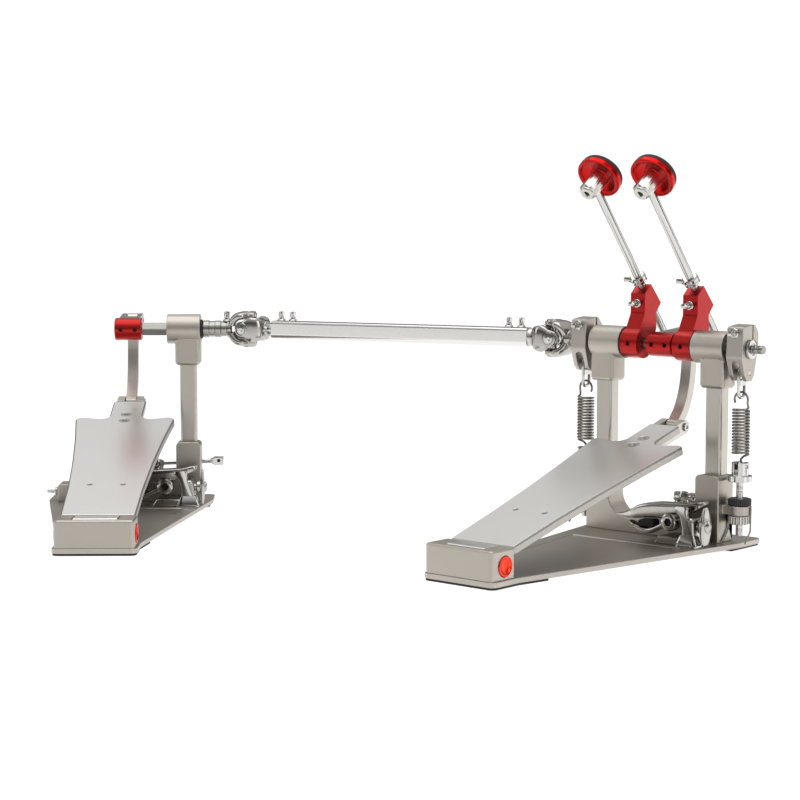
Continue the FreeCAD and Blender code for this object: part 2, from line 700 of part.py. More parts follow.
def stand(name, frame, middle, sides):
    """A cast foot on each side with a web between them, posts, and bearing heads on top."""
    foot = Piece(f"{name}_stand_foot")
    if len(sides) == 2:
        inner = "(post_spread - foot_half)"
        foot.add("XZ", "foot_front", "foot_rear", [
            (f"-{inner} - 2 * foot_half", PLATE_TOP),
            (f"{inner} + 2 * foot_half", PLATE_TOP),
            (f"{inner} + 2 * foot_half", "foot_top", 5),
            (inner, "foot_top", 5),
            (inner, "web_hump_top + 8", 6),
            (f"{inner} - 12", "web_hump_top", 12),
            (f"{inner} - 32", "web_hump_top", 14),
            (f"{inner} - 60", "web_top", 18),
            (f"-{inner}", "web_top", 24),
            (f"-{inner}", "foot_top", 5),
            (f"-{inner} - 2 * foot_half", "foot_top", 5),
        ])
    else:
        inner = "(post_spread - foot_half)"
        foot.add("XZ", "foot_front", "foot_rear", [
            (f"-{inner} - 2 * foot_half", PLATE_TOP),
            (f"{inner} + 2 * foot_half", PLATE_TOP),
            (f"{inner} + 2 * foot_half", "foot_top", 5),
            (inner, "foot_top", 5),
            (inner, "web_hump_top", 6),
            (f"{inner} - 28", "web_hump_top", 6),
            (f"{inner} - 56", "web_top", 14),
            (f"-{inner}", "web_top", 6),
            (f"-{inner} - 8", "web_top + 5", 4),
            (f"-{inner} - 2 * foot_half", "web_top + 5", 4),
        ])
    for side in sides:
        across = f"{side} * post_spread"
        foot.cut("XY", "foot_top - socket_depth", "foot_top + 1", post_outline(across, "+ seat_clearance"))
        if len(sides) == 2:
            edge = f"{side} * (post_spread + foot_half - 2)"
            low, high = (edge, f"{side} * spring_spread") if side > 0 else (f"{side} * spring_spread", edge)
            foot.add("XY", "boss_bottom", "boss_top", [
                (low, "-boss_radius + 3"), (high, "-boss_radius + 3"),
                (high, "boss_radius - 3"), (low, "boss_radius - 3")])
            foot.add("XY", "boss_bottom", "boss_top", circle=(f"{side} * spring_spread", 0, "boss_radius"))
            foot.cut("XY", "boss_bottom - 1", "boss_top + 1",
                     circle=(f"{side} * spring_spread", 0, "tension_rod_radius + running_clearance"))
    foot.cut("XZ", "foot_front - 1", "foot_rear + 1",
             circle=("rocker_across", "rocker_up", "rocker_radius + running_clearance"))
    pieces = [foot]
    if len(sides) == 1:
        pieces.append(joined("spur", [
            rod("spur_point", 2, 14, ("-post_spread - foot_half - 14", 0, 17), "X"),
            rod("spur_collar", 4.5, 3, ("-post_spread - foot_half - 5", 0, 17), "X")]))
    place(group(f"{name}_foot_and_spur", pieces) if len(pieces) > 1 else foot, f"{name}_stand_foot", frame)

    posts, heads, bearings, seals = [], [], [], []
    for side in sides:
        across = f"{side} * post_spread"
        posts.append(Piece(f"{name}_post").add("XY", "foot_top - socket_depth", "head_bottom + socket_depth",
                                               post_outline(across)))
        inner, outer = ("barrel_inner", "barrel_outer") if side > 0 else ("-barrel_outer", "-barrel_inner")
        head = Piece(f"{name}_head").add("XY", "head_bottom", "axle_height", [
            (f"{across} + head_half", "head_half_depth", 4),
            (f"{across} - head_half", "head_half_depth", 4),
            (f"{across} - head_half", "-head_half_depth", 4),
            (f"{across} + head_half", "-head_half_depth", 4),
        ])
        head.bevel(2.5, lambda edge: edge.BoundBox.ZMax < measure("head_bottom") + 0.01)
        head.add("YZ", inner, outer, circle=(0, "axle_height", "barrel_radius"))
        head.cut("YZ", f"{inner} - 1", f"{outer} + 1",
                 circle=(0, "axle_height", "bearing_radius + seat_clearance"))
        head.cut("XY", "head_bottom - 1", "head_bottom + socket_depth",
                 post_outline(across, "+ seat_clearance"))
        heads.append(head)
        bearing = Piece(f"{name}_bearing").add("YZ", f"{inner} + 1", f"{outer} - 1",
                                               circle=(0, "axle_height", "bearing_radius"))
        bearing.cut("YZ", inner, outer, circle=(0, "axle_height", "axle_radius + running_clearance"))
        bearings.append(bearing)
        start, end, reach = ("barrel_inner - seal_thickness", "barrel_inner", "seal_radius")
        if len(sides) == 1:
            start, end, reach = ("barrel_outer", "barrel_outer + outer_seal_thickness", "outer_seal_radius")
        if side < 0:
            start, end = f"-({end})", f"-({start})"
        seal = Piece(f"{name}_seal").add("YZ", start, end, circle=(0, "axle_height", reach))
        seal.cut("YZ", f"{start} - 1", f"{end} + 1",
                 circle=(0, "axle_height", "axle_radius + side_clearance"))
        seals.append(seal)
    place(group(f"{name}_posts", posts), f"{name}_post" + "s" * (len(sides) - 1), frame)
    place(group(f"{name}_bearing_heads", heads + bearings + seals),
          f"{name}_bearing_head" + "s" * (len(sides) - 1), frame)


for name, frame, middle, sides in PEDALS:
    floor_plate(name, frame, middle)
    heel_block(name, frame, middle)
    footboard(name, frame, middle)
    drive_link(name, frame, middle)
    drive_cam(name, frame, middle)
    stand(name, frame, middle, sides)


# ---------------------------------------------------------------- axles

def round_bar(label, start, end, radius="axle_radius"):
    return rod(label, radius, f"({end}) - ({start})", (start, 0, "axle_height"), "X")


right_axle = joined("right_axle", [
    round_bar("right_axle_bar", "axle_split + 0.5", "axle_right_end - 14"),
    round_bar("right_axle_thread", "axle_right_end - 14", "axle_right_end", "axle_radius - 2"),
    round_bar("right_axle_pilot", "axle_split - pilot_length", "axle_split + 0.5", "pilot_radius"),
])
place(right_axle, "right_axle")
left_bar = round_bar("left_axle_bar", "-primary_joint_out + fork_base + 2", "axle_split")
left_axle = less("left_axle", left_bar, [
    round_bar("left_axle_bore", "axle_split - pilot_length - 0.5", "axle_split + 1",
              "pilot_radius + running_clearance")])
washer = less("right_axle_nut", round_bar("nut_disc", "spring_spread + cam_cheek_half + 0.1",
                                          "spring_spread + cam_cheek_half + 3.1", "axle_radius + 3.5"),
              [round_bar("nut_bore", 0, "axle_right_end", "axle_radius + seat_clearance")])

hex_bar = solid("Prism", "secondary_axle_hex",
                ("secondary_drive_x + cam_half + 0.5", 0, "axle_height"), "X", Polygon=6,
                Circumradius="axle_radius * 1.13",
                Height="barrel_inner - 0.5 - (secondary_drive_x + cam_half + 0.5)")
secondary_axle = joined("secondary_axle", [
    hex_bar,
    round_bar("secondary_axle_cam_end", "secondary_drive_x - cam_half", "secondary_drive_x + cam_half + 0.5"),
    round_bar("secondary_axle_bar", "barrel_inner - 0.5", "coupler_start + 24"),
])
coupler = less("secondary_coupler", joined("secondary_coupler_body", [
    round_bar("coupler_wide", "coupler_start", "coupler_start + 20", "coupler_radius"),
    round_bar("coupler_narrow", "coupler_start + 20", "coupler_start + 30", "coupler_radius - 1")]), [
    round_bar("coupler_bore", "coupler_start - 1", "coupler_start + 24.5", "axle_radius + seat_clearance"),
    rod("coupler_bolt_bore", "key_shank_radius + seat_clearance", 9,
        ("coupler_bolt_at", 0, "axle_height + coupler_radius - 1 - coupler_bolt_sunk"))])


# ---------------------------------------------------------------- beater holders and beaters

axle_fasteners = {"right": [washer], "left": []}


def rod_direction():
    forward = measure("rod_head_forward") - measure("rod_foot_forward")
    up = measure("rod_head_up") - measure("rod_foot_up")
    return forward, up


def beater_frame(across):
    """Frame at the rod's foot: Z along the rod to the head, Y towards the drum."""
    forward, up = rod_direction()
    tilt = math.degrees(math.atan2(-forward, up))
    foot = Vector(across, measure("rod_foot_forward"), measure("rod_foot_up"))
    return Placement(foot, Rotation(Vector(1, 0, 0), tilt))


def beater(side_name, side):
    middle = f"{side} * (hub_outer - hub_width / 2)"
    lie = beater_frame(side * (measure("hub_outer") - measure("hub_width") / 2))
    length = "hypot(rod_head_forward - rod_foot_forward; rod_head_up - rod_foot_up)"

    holder = Piece(f"{side_name}_holder")
    holder.add("YZ", f"{middle} - holder_width / 2", f"{middle} + holder_width / 2", [
        (-10, "axle_height + 9"), (-7, "axle_height + 13", 4), (2, "axle_height + 30", 6),
        (2, "axle_height + 50", 1), (13, "axle_height + 60", 1), (31.6, "axle_height + 40", 1),
        (23, "axle_height + 30", 2), (24, "axle_height + 12", 8), (12, "axle_height + 2")])
    holder.add("YZ", f"{middle} - hub_width / 2", f"{middle} + hub_width / 2",
               circle=(0, "axle_height", "hub_radius"))
    holder.cut("YZ", f"{middle} - hub_width", f"{middle} + hub_width",
               circle=(0, "axle_height", "axle_radius + seat_clearance"))
    holder.cut("XZ", "-hub_radius - 1", "-hub_radius + 6", circle=(middle, "axle_height", "set_screw_radius"))
    bore = group(f"{side_name}_rod_bore", [
        rod(f"{side_name}_rod_drill", "rod_radius + running_clearance", length, (0, 0, 0))])
    bore.Placement = lie
    key_up = "(axle_height + holder_key_up)"
    screw_bore = rod(f"{side_name}_key_bore", "holder_key_radius + running_clearance", 9,
                     (middle, 1, key_up), "Y")
    place(less(f"{side_name}_beater_holder", holder, [bore, screw_bore]), f"{side_name}_beater_holder")

    shank = rod(f"{side_name}_key_shank", "holder_key_radius", 12, (middle, -3, key_up), "Y")
    head = block(f"{side_name}_key_head",
                 (f"{middle} - key_square_half", -12, f"{key_up} - key_square_half"),
                 (f"{middle} + key_square_half", -3, f"{key_up} + key_square_half"))
    flange = rod(f"{side_name}_key_flange", "key_flange_radius", "key_flange_height",
                 (middle, -2.4, key_up), "Y")
    axle_fasteners[side_name].append(joined(f"{side_name}_key", [shank, head, flange]))

    stem = rod(f"{side_name}_stem", "rod_radius", length, (0, 0, 0))
    collar = less(f"{side_name}_collar", rod(f"{side_name}_collar_disc", "collar_radius", "collar_length",
                                             (0, 0, "collar_from_foot")), [
        rod(f"{side_name}_collar_bore", "rod_radius + seat_clearance", 40, (0, 0, "collar_from_foot - 1")),
        block(f"{side_name}_collar_slit", (-0.7, -20, "collar_from_foot - 1"),
              (0.7, 0, "collar_from_foot + 20"))])
    place(group(f"{side_name}_stem_and_collar", [stem, collar]), f"{side_name}_beater_rod", lie)

    # The head: a hexagonal barrel across the rod, a dished disc and a rubber pad beyond it.
    barrel = less(f"{side_name}_barrel", solid(
        "Prism", f"{side_name}_barrel_hex", (0, "-barrel_tip", length), "Y", Polygon=6,
        Circumradius="barrel_across / 1.732", Height="barrel_tip + disc_start"), [
        rod(f"{side_name}_barrel_bore", "rod_radius + seat_clearance", 40, (0, 0, f"{length} - 40")),
        rod(f"{side_name}_tip_bore", 2.5, 8, (0, "-barrel_tip - 1", length), "Y")])
    disc = less(f"{side_name}_disc", rod(f"{side_name}_disc_round", "disc_radius", "disc_thickness",
                                         (0, "disc_start", length), "Y"), [
        solid("Cone", f"{side_name}_dish", (0, "disc_start", length), "Y",
              Radius1="disc_radius - 3", Radius2="barrel_across / 2", Height=3)])
    place(group(f"{side_name}_barrel_and_disc", [barrel, disc]), f"{side_name}_beater_head", lie)
    pad = rod(f"{side_name}_pad", "pad_radius", "pad_thickness",
              (0, "disc_start + disc_thickness", length), "Y")
    place(group(f"{side_name}_pad_placed", [pad]), f"{side_name}_beater_pad", lie)


# ---------------------------------------------------------------- spring cams, springs, tensioners

def spring_side(side_name, side):
    middle = f"{side} * spring_spread"
    low, high = f"{middle} - cam_cheek_half", f"{middle} + cam_cheek_half"
    pin_up = "(axle_height - hook_pin_drop)"
    cam = Piece(f"{side_name}_spring_cam").add("YZ", low, high, [
        (-13, "axle_height + 22", 3), (8, "axle_height + 24.5", 6), (15, "axle_height + 16", 5),
        (15, "axle_height + 2", 8), (8, "axle_height - 26", 3), (4, "axle_height - 31.5", 3),
        (-4, "axle_height - 31.5", 3), (-9, "axle_height - 26", 3), (-15, "axle_height - 8", 8)])
    cam.cut("XZ", -30, 30, [
        (f"{middle} - cam_slot_half", "axle_height - 40"), (f"{middle} + cam_slot_half", "axle_height - 40"),
        (f"{middle} + cam_slot_half", "axle_height - 12", 4),
        (f"{middle} - cam_slot_half", "axle_height - 12", 4)])
    cam.cut("YZ", f"{low} - 1", f"{high} + 1", circle=(0, "axle_height", "axle_radius + seat_clearance"))
    cam.cut("YZ", f"{low} - 1", f"{high} + 1", circle=(0, pin_up, "hook_pin_radius + seat_clearance"))
    cam.cut("XZ", -20, -7, circle=(middle, "axle_height + cam_key_up", "key_shank_radius + seat_clearance"))
    cam.cut("XY", "axle_height + 4", "axle_height + 30", [
        (f"{low} - 1", 4), (f"{high} + 1", 4), (f"{high} + 1", 5.5), (f"{low} - 1", 5.5)])
    place(cam, f"{side_name}_spring_cam")
    pin = rod(f"{side_name}_hook_pin", "hook_pin_radius", "2 * cam_cheek_half", (low, 0, pin_up), "X")
    key_up = "(axle_height + cam_key_up)"
    shank = rod(f"{side_name}_cam_shank", "key_shank_radius", 9, (middle, -17, key_up), "Y")
    flange = rod(f"{side_name}_cam_washer", "key_flange_radius", 1.6, (middle, -15.2, key_up), "Y")
    head = block(f"{side_name}_cam_head", (f"{middle} - key_square_half", -24, f"{key_up} - key_square_half"),
                 (f"{middle} + key_square_half", -15.2, f"{key_up} + key_square_half"))
    axle_fasteners[side_name] += [joined(f"{side_name}_cam_key", [shank, flange, head]), pin]
    place(group(f"{side_name}_fasteners", axle_fasteners[side_name]), f"{side_name}_axle_bolts")

    # The hook hangs on the cam's pin by a loop of wire and holds the spring's top eye.
    loop_radius = "hook_pin_radius + hook_wire_radius + hook_play"
    loop = solid("Torus", f"{side_name}_hook_loop", (middle, 0, pin_up), "X",
                 Radius1=loop_radius, Radius2="hook_wire_radius")
    leg = rod(f"{side_name}_hook_leg", "hook_wire_radius", "hook_length - hook_pin_radius - 3",
              (middle, 0, f"{pin_up} - hook_length"))
    ring = solid("Torus", f"{side_name}_hook_ring", (middle, 0, f"{pin_up} - hook_length"), "Y",
                 Radius1=3.2, Radius2="hook_wire_radius")
    place(joined(f"{side_name}_hook", [loop, ring, leg]), f"{side_name}_spring_hook")

    # The spring: close coils between two open loops, one in the hook and one in the clevis.
    across = side * measure("spring_spread")
    bottom, height = measure("spring_bottom"), measure("spring_top") - measure("spring_bottom")
    mean = measure("spring_outer") - measure("spring_wire")
    coil = Part.makeHelix(measure("spring_pitch"), height, mean)
    start = Part.makeCircle(measure("spring_wire"), Vector(mean, 0, 0), Vector(0, 1, 0))
    wire = Part.Wire(coil.Edges).makePipeShell([Part.Wire([start])], True, True)
    spring = doc.addObject("Part::Feature", f"{side_name}_spring_coil")
    spring.Shape = wire
    spring.Placement = Placement(Vector(across, 0, bottom), Rotation())
    place(spring, f"{side_name}_spring")

    # The tensioner: clevis, collar and rod in one, held by a nut below the boss and a knob above.
    clevis = less(f"{side_name}_clevis", joined(f"{side_name}_tension_body", [
        rod(f"{side_name}_tension_bar", "tension_rod_radius", "tension_collar_top - tension_rod_bottom",
            (middle, 0, "tension_rod_bottom")),
        rod(f"{side_name}_tension_collar", "tension_collar_radius",
            "tension_collar_top - tension_collar_bottom", (middle, 0, "tension_collar_bottom")),
        rod(f"{side_name}_tension_lobes", "clevis_radius", "clevis_top - tension_collar_top",
            (middle, 0, "tension_collar_top"))]), [
        block(f"{side_name}_clevis_gap", (f"{middle} - clevis_gap_half", -30, "tension_collar_top + 1"),
              (f"{middle} + clevis_gap_half", 30, "clevis_top + 1")),
        rod(f"{side_name}_clevis_hole", "clevis_pin_radius + seat_clearance", 60,
            (f"{middle} - 30", 0, "anchor_up"), "X")])
    clevis_pin = rod(f"{side_name}_clevis_pin", "clevis_pin_radius", "2 * clevis_radius - 2",
                     (f"{middle} - clevis_radius + 1", 0, "anchor_up"), "X")
    place(group(f"{side_name}_clevis_and_pin", [clevis, clevis_pin]), f"{side_name}_tension_rod")
    bore = rod(f"{side_name}_nut_bore", "tension_rod_radius + running_clearance", 80, (middle, 0, 0))
    knob = less(f"{side_name}_knob", rod(f"{side_name}_knob_disc", "lock_knob_radius", "lock_knob_height",
                                         (middle, 0, "boss_top + 0.3")), [bore])
    bore = rod(f"{side_name}_nut_bore", "tension_rod_radius + running_clearance", 80, (middle, 0, 0))
    nut = less(f"{side_name}_nut", rod(f"{side_name}_nut_disc", "nut_radius", "nut_height",
                                       (middle, 0, "boss_bottom - 0.3 - nut_height")), [bore])
    place(group(f"{side_name}_nut_pair", [knob, nut]), f"{side_name}_tension_nuts")


for side_name, side in (("right", 1), ("left", -1)):
    beater(side_name, side)
    spring_side(side_name, side)


# ---------------------------------------------------------------- universal joints and shaft

joint_a = Vector(-measure("primary_joint_out"), 0, 0)
joint_b = away.multVec(Vector(measure("secondary_joint_out"), 0, 0))
shaft_turn = math.degrees(math.atan2(joint_a.y - joint_b.y, joint_a.x - joint_b.x))
shaft_length = (joint_a - joint_b).Length
up = Vector(0, 0, measure("axle_height"))
shaft_at_b = turned(joint_b + up, shaft_turn)
shaft_at_a = turned(joint_a + up, shaft_turn)


def fork(label, upright, hub_length, hole, hub_radius="fork_hub_radius"):
    """A yoke whose joint centre is the origin and whose hub points along +X."""
    round_stock = rod(f"{label}_stock", "joint_radius", "fork_tip + fork_base + fork_depth",
                      ("-fork_tip", 0, 0), "X")
    wide, high = ("fork_half", "joint_radius + 1") if upright else ("joint_radius + 1", "fork_half")
    slab = block(f"{label}_slab", ("-fork_tip - 1", f"-({wide})", f"-({high})"),
                 ("fork_base + fork_depth + 1", wide, high))
    arms = doc.addObject("Part::Common", f"{label}_arms")
    arms.Base, arms.Tool = round_stock, slab
    throat_wide, throat_high = ("fork_half + 5", "fork_inner") if upright else ("fork_inner", "fork_half + 5")
    throat = block(f"{label}_throat", ("-fork_tip - 1", f"-({throat_wide})", f"-({throat_high})"),
                   ("fork_base", throat_wide, throat_high))
    start = ("0", "0", "-joint_radius - 1") if upright else ("0", "-joint_radius - 1", "0")
    pin_hole = rod(f"{label}_hole", hole, "2 * joint_radius + 2", start, "Z" if upright else "Y")
    jaws = less(f"{label}_jaws", arms, [throat, pin_hole])
    hub = rod(f"{label}_hub", hub_radius, hub_length, ("fork_base + 1", 0, 0), "X")
    return joined(label, [jaws, hub])


def cross(label):
    return joined(label, [
        rod(f"{label}_upright", "cross_pin_radius", "2 * joint_radius + 1", (0, 0, "-joint_radius - 0.5")),
        rod(f"{label}_level", "cross_pin_radius", "2 * joint_radius + 1", (0, "-joint_radius - 0.5", 0), "Y"),
        solid("Sphere", f"{label}_core", (0, 0, 0), Radius="cross_core_radius"),
    ])


close_hole = "cross_pin_radius + running_clearance"
open_hole = "cross_pin_radius + cross_play"
axle_fork = less("primary_axle_fork", fork("primary_axle_fork_raw", True, 13, close_hole), [
    rod("primary_fork_bore", "axle_radius + seat_clearance", 40, ("fork_base + 2", 0, 0), "X")])
axle_fork.Placement = Placement(joint_a + up, Rotation())
place(group("left_axle_and_fork", [left_axle, axle_fork]), "left_axle")
place(cross("primary_joint_cross"), "primary_joint_cross", shaft_at_a)
place(cross("secondary_joint_cross"), "secondary_joint_cross", shaft_at_b)

# Shaft parts lie in the frame of the secondary joint, with X towards the primary joint.
bar = Piece("shaft_bar").add("YZ", "bar_start", "bar_end", [
    ("bar_width / 2", "bar_width / 2", "bar_corner"), ("-bar_width / 2", "bar_width / 2", "bar_corner"),
    ("-bar_width / 2", "-bar_width / 2", "bar_corner * 2"),
    ("bar_width / 2", "-bar_width / 2", "bar_corner * 2")])
bar.cut("YZ", "bar_start - 1", "bar_end + 1", circle=(0, 0, "bar_bore + running_clearance"))
SHAFT_BOLTS = ("bar_start + 9", "bar_start + 23", "bar_end - 23", "bar_end - 9")
for at in SHAFT_BOLTS:
    bar.cut("XY", "bar_width / 2 - shaft_bolt_sunk", "bar_width / 2 + 1",
            circle=(at, 0, "key_shank_radius + seat_clearance"))
place(bar, "shaft_bar", shaft_at_b)
place(fork("secondary_shaft_fork_raw", False, "inner_rod_length", open_hole, "bar_bore"),
      "secondary_shaft_rod", shaft_at_b)

near_end = fork("primary_shaft_fork_raw", False, "primary_rod_length", open_hole, "bar_bore")
near_length = shaft_length - measure("bar_end")
socket = rod("primary_shaft_socket", "bar_width / 2 - 0.6", 5.5, (near_length - 5.5, 0, 0), "X")
place(joined("primary_shaft_fork", [near_end, socket]), "primary_shaft_fork",
      turned(joint_a + up, shaft_turn + 180))


def key_bolt(label, across, forward, seat, sunk):
    """A square-headed drum key bolt standing on a seat, its shank sunk below it."""
    return joined(label, [
        rod(f"{label}_shank", "key_shank_radius", f"{sunk} + 4", (across, forward, f"{seat} - ({sunk})")),
        rod(f"{label}_flange", "key_flange_radius", "key_flange_height",
            (across, forward, f"{seat} + seat_clearance")),
        rod(f"{label}_neck", "key_neck_radius", "key_square_start", (across, forward, f"{seat} + 1")),
        block(f"{label}_square",
              (f"{across} - key_square_half", f"{forward} - key_square_half", f"{seat} + key_square_start"),
              (f"{across} + key_square_half", f"{forward} + key_square_half", f"{seat} + key_height"))])


bolts = [key_bolt("shaft_bolt", at, 0, "bar_width / 2", "shaft_bolt_sunk - seat_clearance")
         for at in SHAFT_BOLTS]
place(group("shaft_bolts", bolts), "shaft_bolts", shaft_at_b)
coupler_bolt = key_bolt("coupler_bolt", "coupler_bolt_at", 0, "axle_height + coupler_radius - 1",
                        "coupler_bolt_sunk - seat_clearance")
axle_end_fork = fork("secondary_axle_fork", True, "secondary_joint_out - fork_base - coupler_start - 24",
                     close_hole, "axle_radius")
axle_end_fork.Placement = turned(Vector(measure("secondary_joint_out"), 0, measure("axle_height")), 180)
place(group("secondary_axle_and_fork", [secondary_axle, coupler, coupler_bolt, axle_end_fork]),
      "secondary_axle", away)


# ---------------------------------------------------------------- clamps and small hardware

def clamp(name, frame):
    """A rocker through the web: a lever in front, a jaw behind, and a wing screw at its side."""
    shaft = rod(f"{name}_rocker_round", "rocker_radius", "rocker_rear - rocker_front",
                ("rocker_across", "rocker_front", "rocker_up"), "Y")
    socket = solid("Prism", f"{name}_rocker_hex", ("rocker_across", "rocker_front - 0.5", "rocker_up"), "Y",
                   Polygon=6, Circumradius="rocker_radius * 0.62", Height=4)
    shaft = less(f"{name}_clamp_shaft", shaft, [socket])

    lever = Piece(f"{name}_clamp_lever").add("XZ", "rocker_front + 1", "foot_front - 8", [
        ("rocker_across - jaw_reach", "rocker_up - 13", 3), ("rocker_across - 12", "rocker_up - 10", 6),
        ("rocker_across + 14", "rocker_up - 6", 3), ("rocker_across + 17", "rocker_up + 6", 3),
        ("rocker_across + 4", "rocker_up + 10", 6), ("rocker_across - 14", "rocker_up + 3", 8),
        ("rocker_across - jaw_reach", "rocker_up - 4", 3)])
    lever.cut("XZ", "rocker_front", "foot_front", circle=("rocker_across", "rocker_up",
                                                          "rocker_radius + seat_clearance"))
    jaw = Piece(f"{name}_clamp_jaw").add("XZ", "jaw_start", "rocker_rear - 1", [
        ("rocker_across - jaw_reach", "rocker_up - 6", 3), ("rocker_across + 8", "rocker_up - 8", 5),
        ("rocker_across + 9", "rocker_up + 8", 6),
        ("rocker_across - jaw_reach", "rocker_up - 6 + jaw_thickness", 3)])
    jaw.cut("XZ", "foot_rear", "rocker_rear", circle=("rocker_across", "rocker_up",
                                                      "rocker_radius + seat_clearance"))
    pad = Piece(f"{name}_clamp_pad").add("XY", "rocker_up - 9.4 - jaw_pad_thickness / 2",
                                         "rocker_up - 8.1", [
        ("rocker_across - jaw_reach + 3", "jaw_start + 1", 2), ("rocker_across - 12", "jaw_start + 1", 2),
        ("rocker_across - 12", "rocker_rear - 2", 2),
        ("rocker_across - jaw_reach + 3", "rocker_rear - 2", 2)])
    place(group(f"{name}_rocker", [lever, shaft, jaw, pad]), f"{name}_clamp_rocker", frame)

    bracket = Piece(f"{name}_clamp_foot").add("XZ", "rocker_front - 8", "foot_front - 8", [
        ("rocker_across - 14", PLATE_TOP), ("rocker_across + 34", PLATE_TOP),
        ("rocker_across + 32", "wing_screw_up + 8", 5), ("wing_screw_start + 3", "wing_screw_up + 8", 5),
        ("wing_screw_start + 1", "clamp_foot_top - 4", 4), ("rocker_across - 9", "clamp_foot_top - 4", 2)])
    bracket.cut("YZ", "rocker_across", "rocker_across + 60",
                circle=("wing_screw_forward", "wing_screw_up", "wing_screw_radius + running_clearance"))

    wings = Piece(f"{name}_wing_screw")
    wings.add("YZ", "wing_screw_start", "wing_screw_end",
              circle=("wing_screw_forward", "wing_screw_up", "wing_screw_radius"))
    wings.add("YZ", "rocker_across + 34.5", "rocker_across + 45",
              circle=("wing_screw_forward", "wing_screw_up", "wing_screw_radius + 3.5"))
    for lift in (1, -1):
        wings.add("YZ", "rocker_across + 38", "rocker_across + 43", [
            ("wing_screw_forward - 5", "wing_screw_up"), ("wing_screw_forward + 5", "wing_screw_up"),
            ("wing_screw_forward + 1", f"wing_screw_up + {lift} * wing_half", 3),
            ("wing_screw_forward - 9", f"wing_screw_up + {lift} * (wing_half - 1)", 3)])
    place(wings, f"{name}_wing_screw", frame)

    stud = joined(f"{name}_web_bolt_body", [
        rod(f"{name}_web_bolt_collar", 6.5, 7, ("web_bolt_across", "foot_front + 10", "web_hump_top")),
        solid("Prism", f"{name}_web_bolt_hex", ("web_bolt_across", "foot_front + 10", "web_hump_top + 7"),
              Polygon=6, Circumradius=8.4, Height=8)])
    place(group(f"{name}_bracket_and_bolt", [bracket, stud]), f"{name}_clamp_foot", frame)


for name, frame, _, _ in PEDALS:
    clamp(name, frame)

bails = []
for side in (-1, 1):
    for offset in ("- boss_radius - bail_wire_radius + 0.15", "+ boss_radius + bail_wire_radius - 0.15"):
        across = f"{side} * spring_spread {offset}"
        leg = rod("bail_leg", "bail_wire_radius", "boss_top - 20", (across, 0, 20))
        knee = solid("Sphere", "bail_knee", (across, 0, 20), Radius="bail_wire_radius")
        toe = rod("bail_toe", "bail_wire_radius", 16, (across, 0, 20))
        toe.Placement = Placement(toe.Placement.Base, Rotation(Vector(1, 0, 0), 138))
        bails.append(joined("bail", [leg, knee, toe]))
place(group("adjuster_bails", bails), "adjuster_bails")


# ---------------------------------------------------------------- check and write

doc.recompute()
for thing in doc.Objects:
    if "Invalid" in thing.State or "Error" in thing.State:
        raise RuntimeError(f"{thing.Label} failed to build: {thing.State}")
os.makedirs("parts", exist_ok=True)
for node in nodes:
    if node.Shape.isNull() or not node.Shape.isValid():
        raise RuntimeError(f"{node.Label} has no valid shape")
    node.Shape.exportStep(f"parts/{node.Label}.step")
print(len(nodes), "sub-parts written")
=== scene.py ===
import json
import math

import bmesh
import bpy
from mathutils import Matrix, Vector


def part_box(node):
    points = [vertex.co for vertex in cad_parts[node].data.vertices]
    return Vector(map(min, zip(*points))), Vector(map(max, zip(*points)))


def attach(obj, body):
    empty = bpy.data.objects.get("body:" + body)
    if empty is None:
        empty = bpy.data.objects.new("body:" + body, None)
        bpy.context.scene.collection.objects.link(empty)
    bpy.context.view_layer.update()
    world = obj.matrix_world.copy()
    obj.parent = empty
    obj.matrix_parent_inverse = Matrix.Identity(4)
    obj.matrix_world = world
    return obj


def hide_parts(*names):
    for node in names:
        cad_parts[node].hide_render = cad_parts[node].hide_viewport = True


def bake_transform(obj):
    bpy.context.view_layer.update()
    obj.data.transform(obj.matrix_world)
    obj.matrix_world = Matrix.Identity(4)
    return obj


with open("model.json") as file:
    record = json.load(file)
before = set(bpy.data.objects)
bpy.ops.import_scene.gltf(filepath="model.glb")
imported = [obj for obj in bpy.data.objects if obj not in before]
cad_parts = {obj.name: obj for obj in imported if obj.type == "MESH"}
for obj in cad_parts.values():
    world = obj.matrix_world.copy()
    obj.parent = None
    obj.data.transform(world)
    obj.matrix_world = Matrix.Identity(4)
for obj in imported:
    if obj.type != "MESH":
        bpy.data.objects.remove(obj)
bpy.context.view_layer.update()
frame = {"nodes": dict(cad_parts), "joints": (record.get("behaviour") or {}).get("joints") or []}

# ---- Light room and floor -----------------------------------------------------------
# The pedal stands on a white floor below a wide overhead bank, with softer banks at both
# sides. The room beyond them is darker, and the chrome and satin metal pick that up.

CAMERA_AT = Vector((1.191, -1.759, 0.356))
LOOKING_LEFT = math.radians(41.26)
LOOKING_DOWN = math.radians(5.76)

lens = bpy.data.cameras.new("camera")
lens.lens = 94.1
lens.sensor_width = 36.0
camera = bpy.data.objects.new("camera", lens)
bpy.context.scene.collection.objects.link(camera)
camera.rotation_euler = (math.radians(90.0) - LOOKING_DOWN, 0.0, LOOKING_LEFT)
camera.location = CAMERA_AT
bpy.context.scene.camera = camera
bpy.context.scene.view_settings.view_transform = "Standard"


def bank(name, at, aim, width, height, watts):
    """A soft rectangular light that faces a point of the pedal."""
    lamp = bpy.data.lights.new(name, "AREA")
    lamp.shape = "RECTANGLE"
    lamp.size, lamp.size_y = width, height
    lamp.energy = watts
    holder = bpy.data.objects.new(name, lamp)
    holder.location = at
    holder.rotation_euler = (Vector(aim) - Vector(at)).to_track_quat("-Z", "Y").to_euler()
    bpy.context.scene.collection.objects.link(holder)


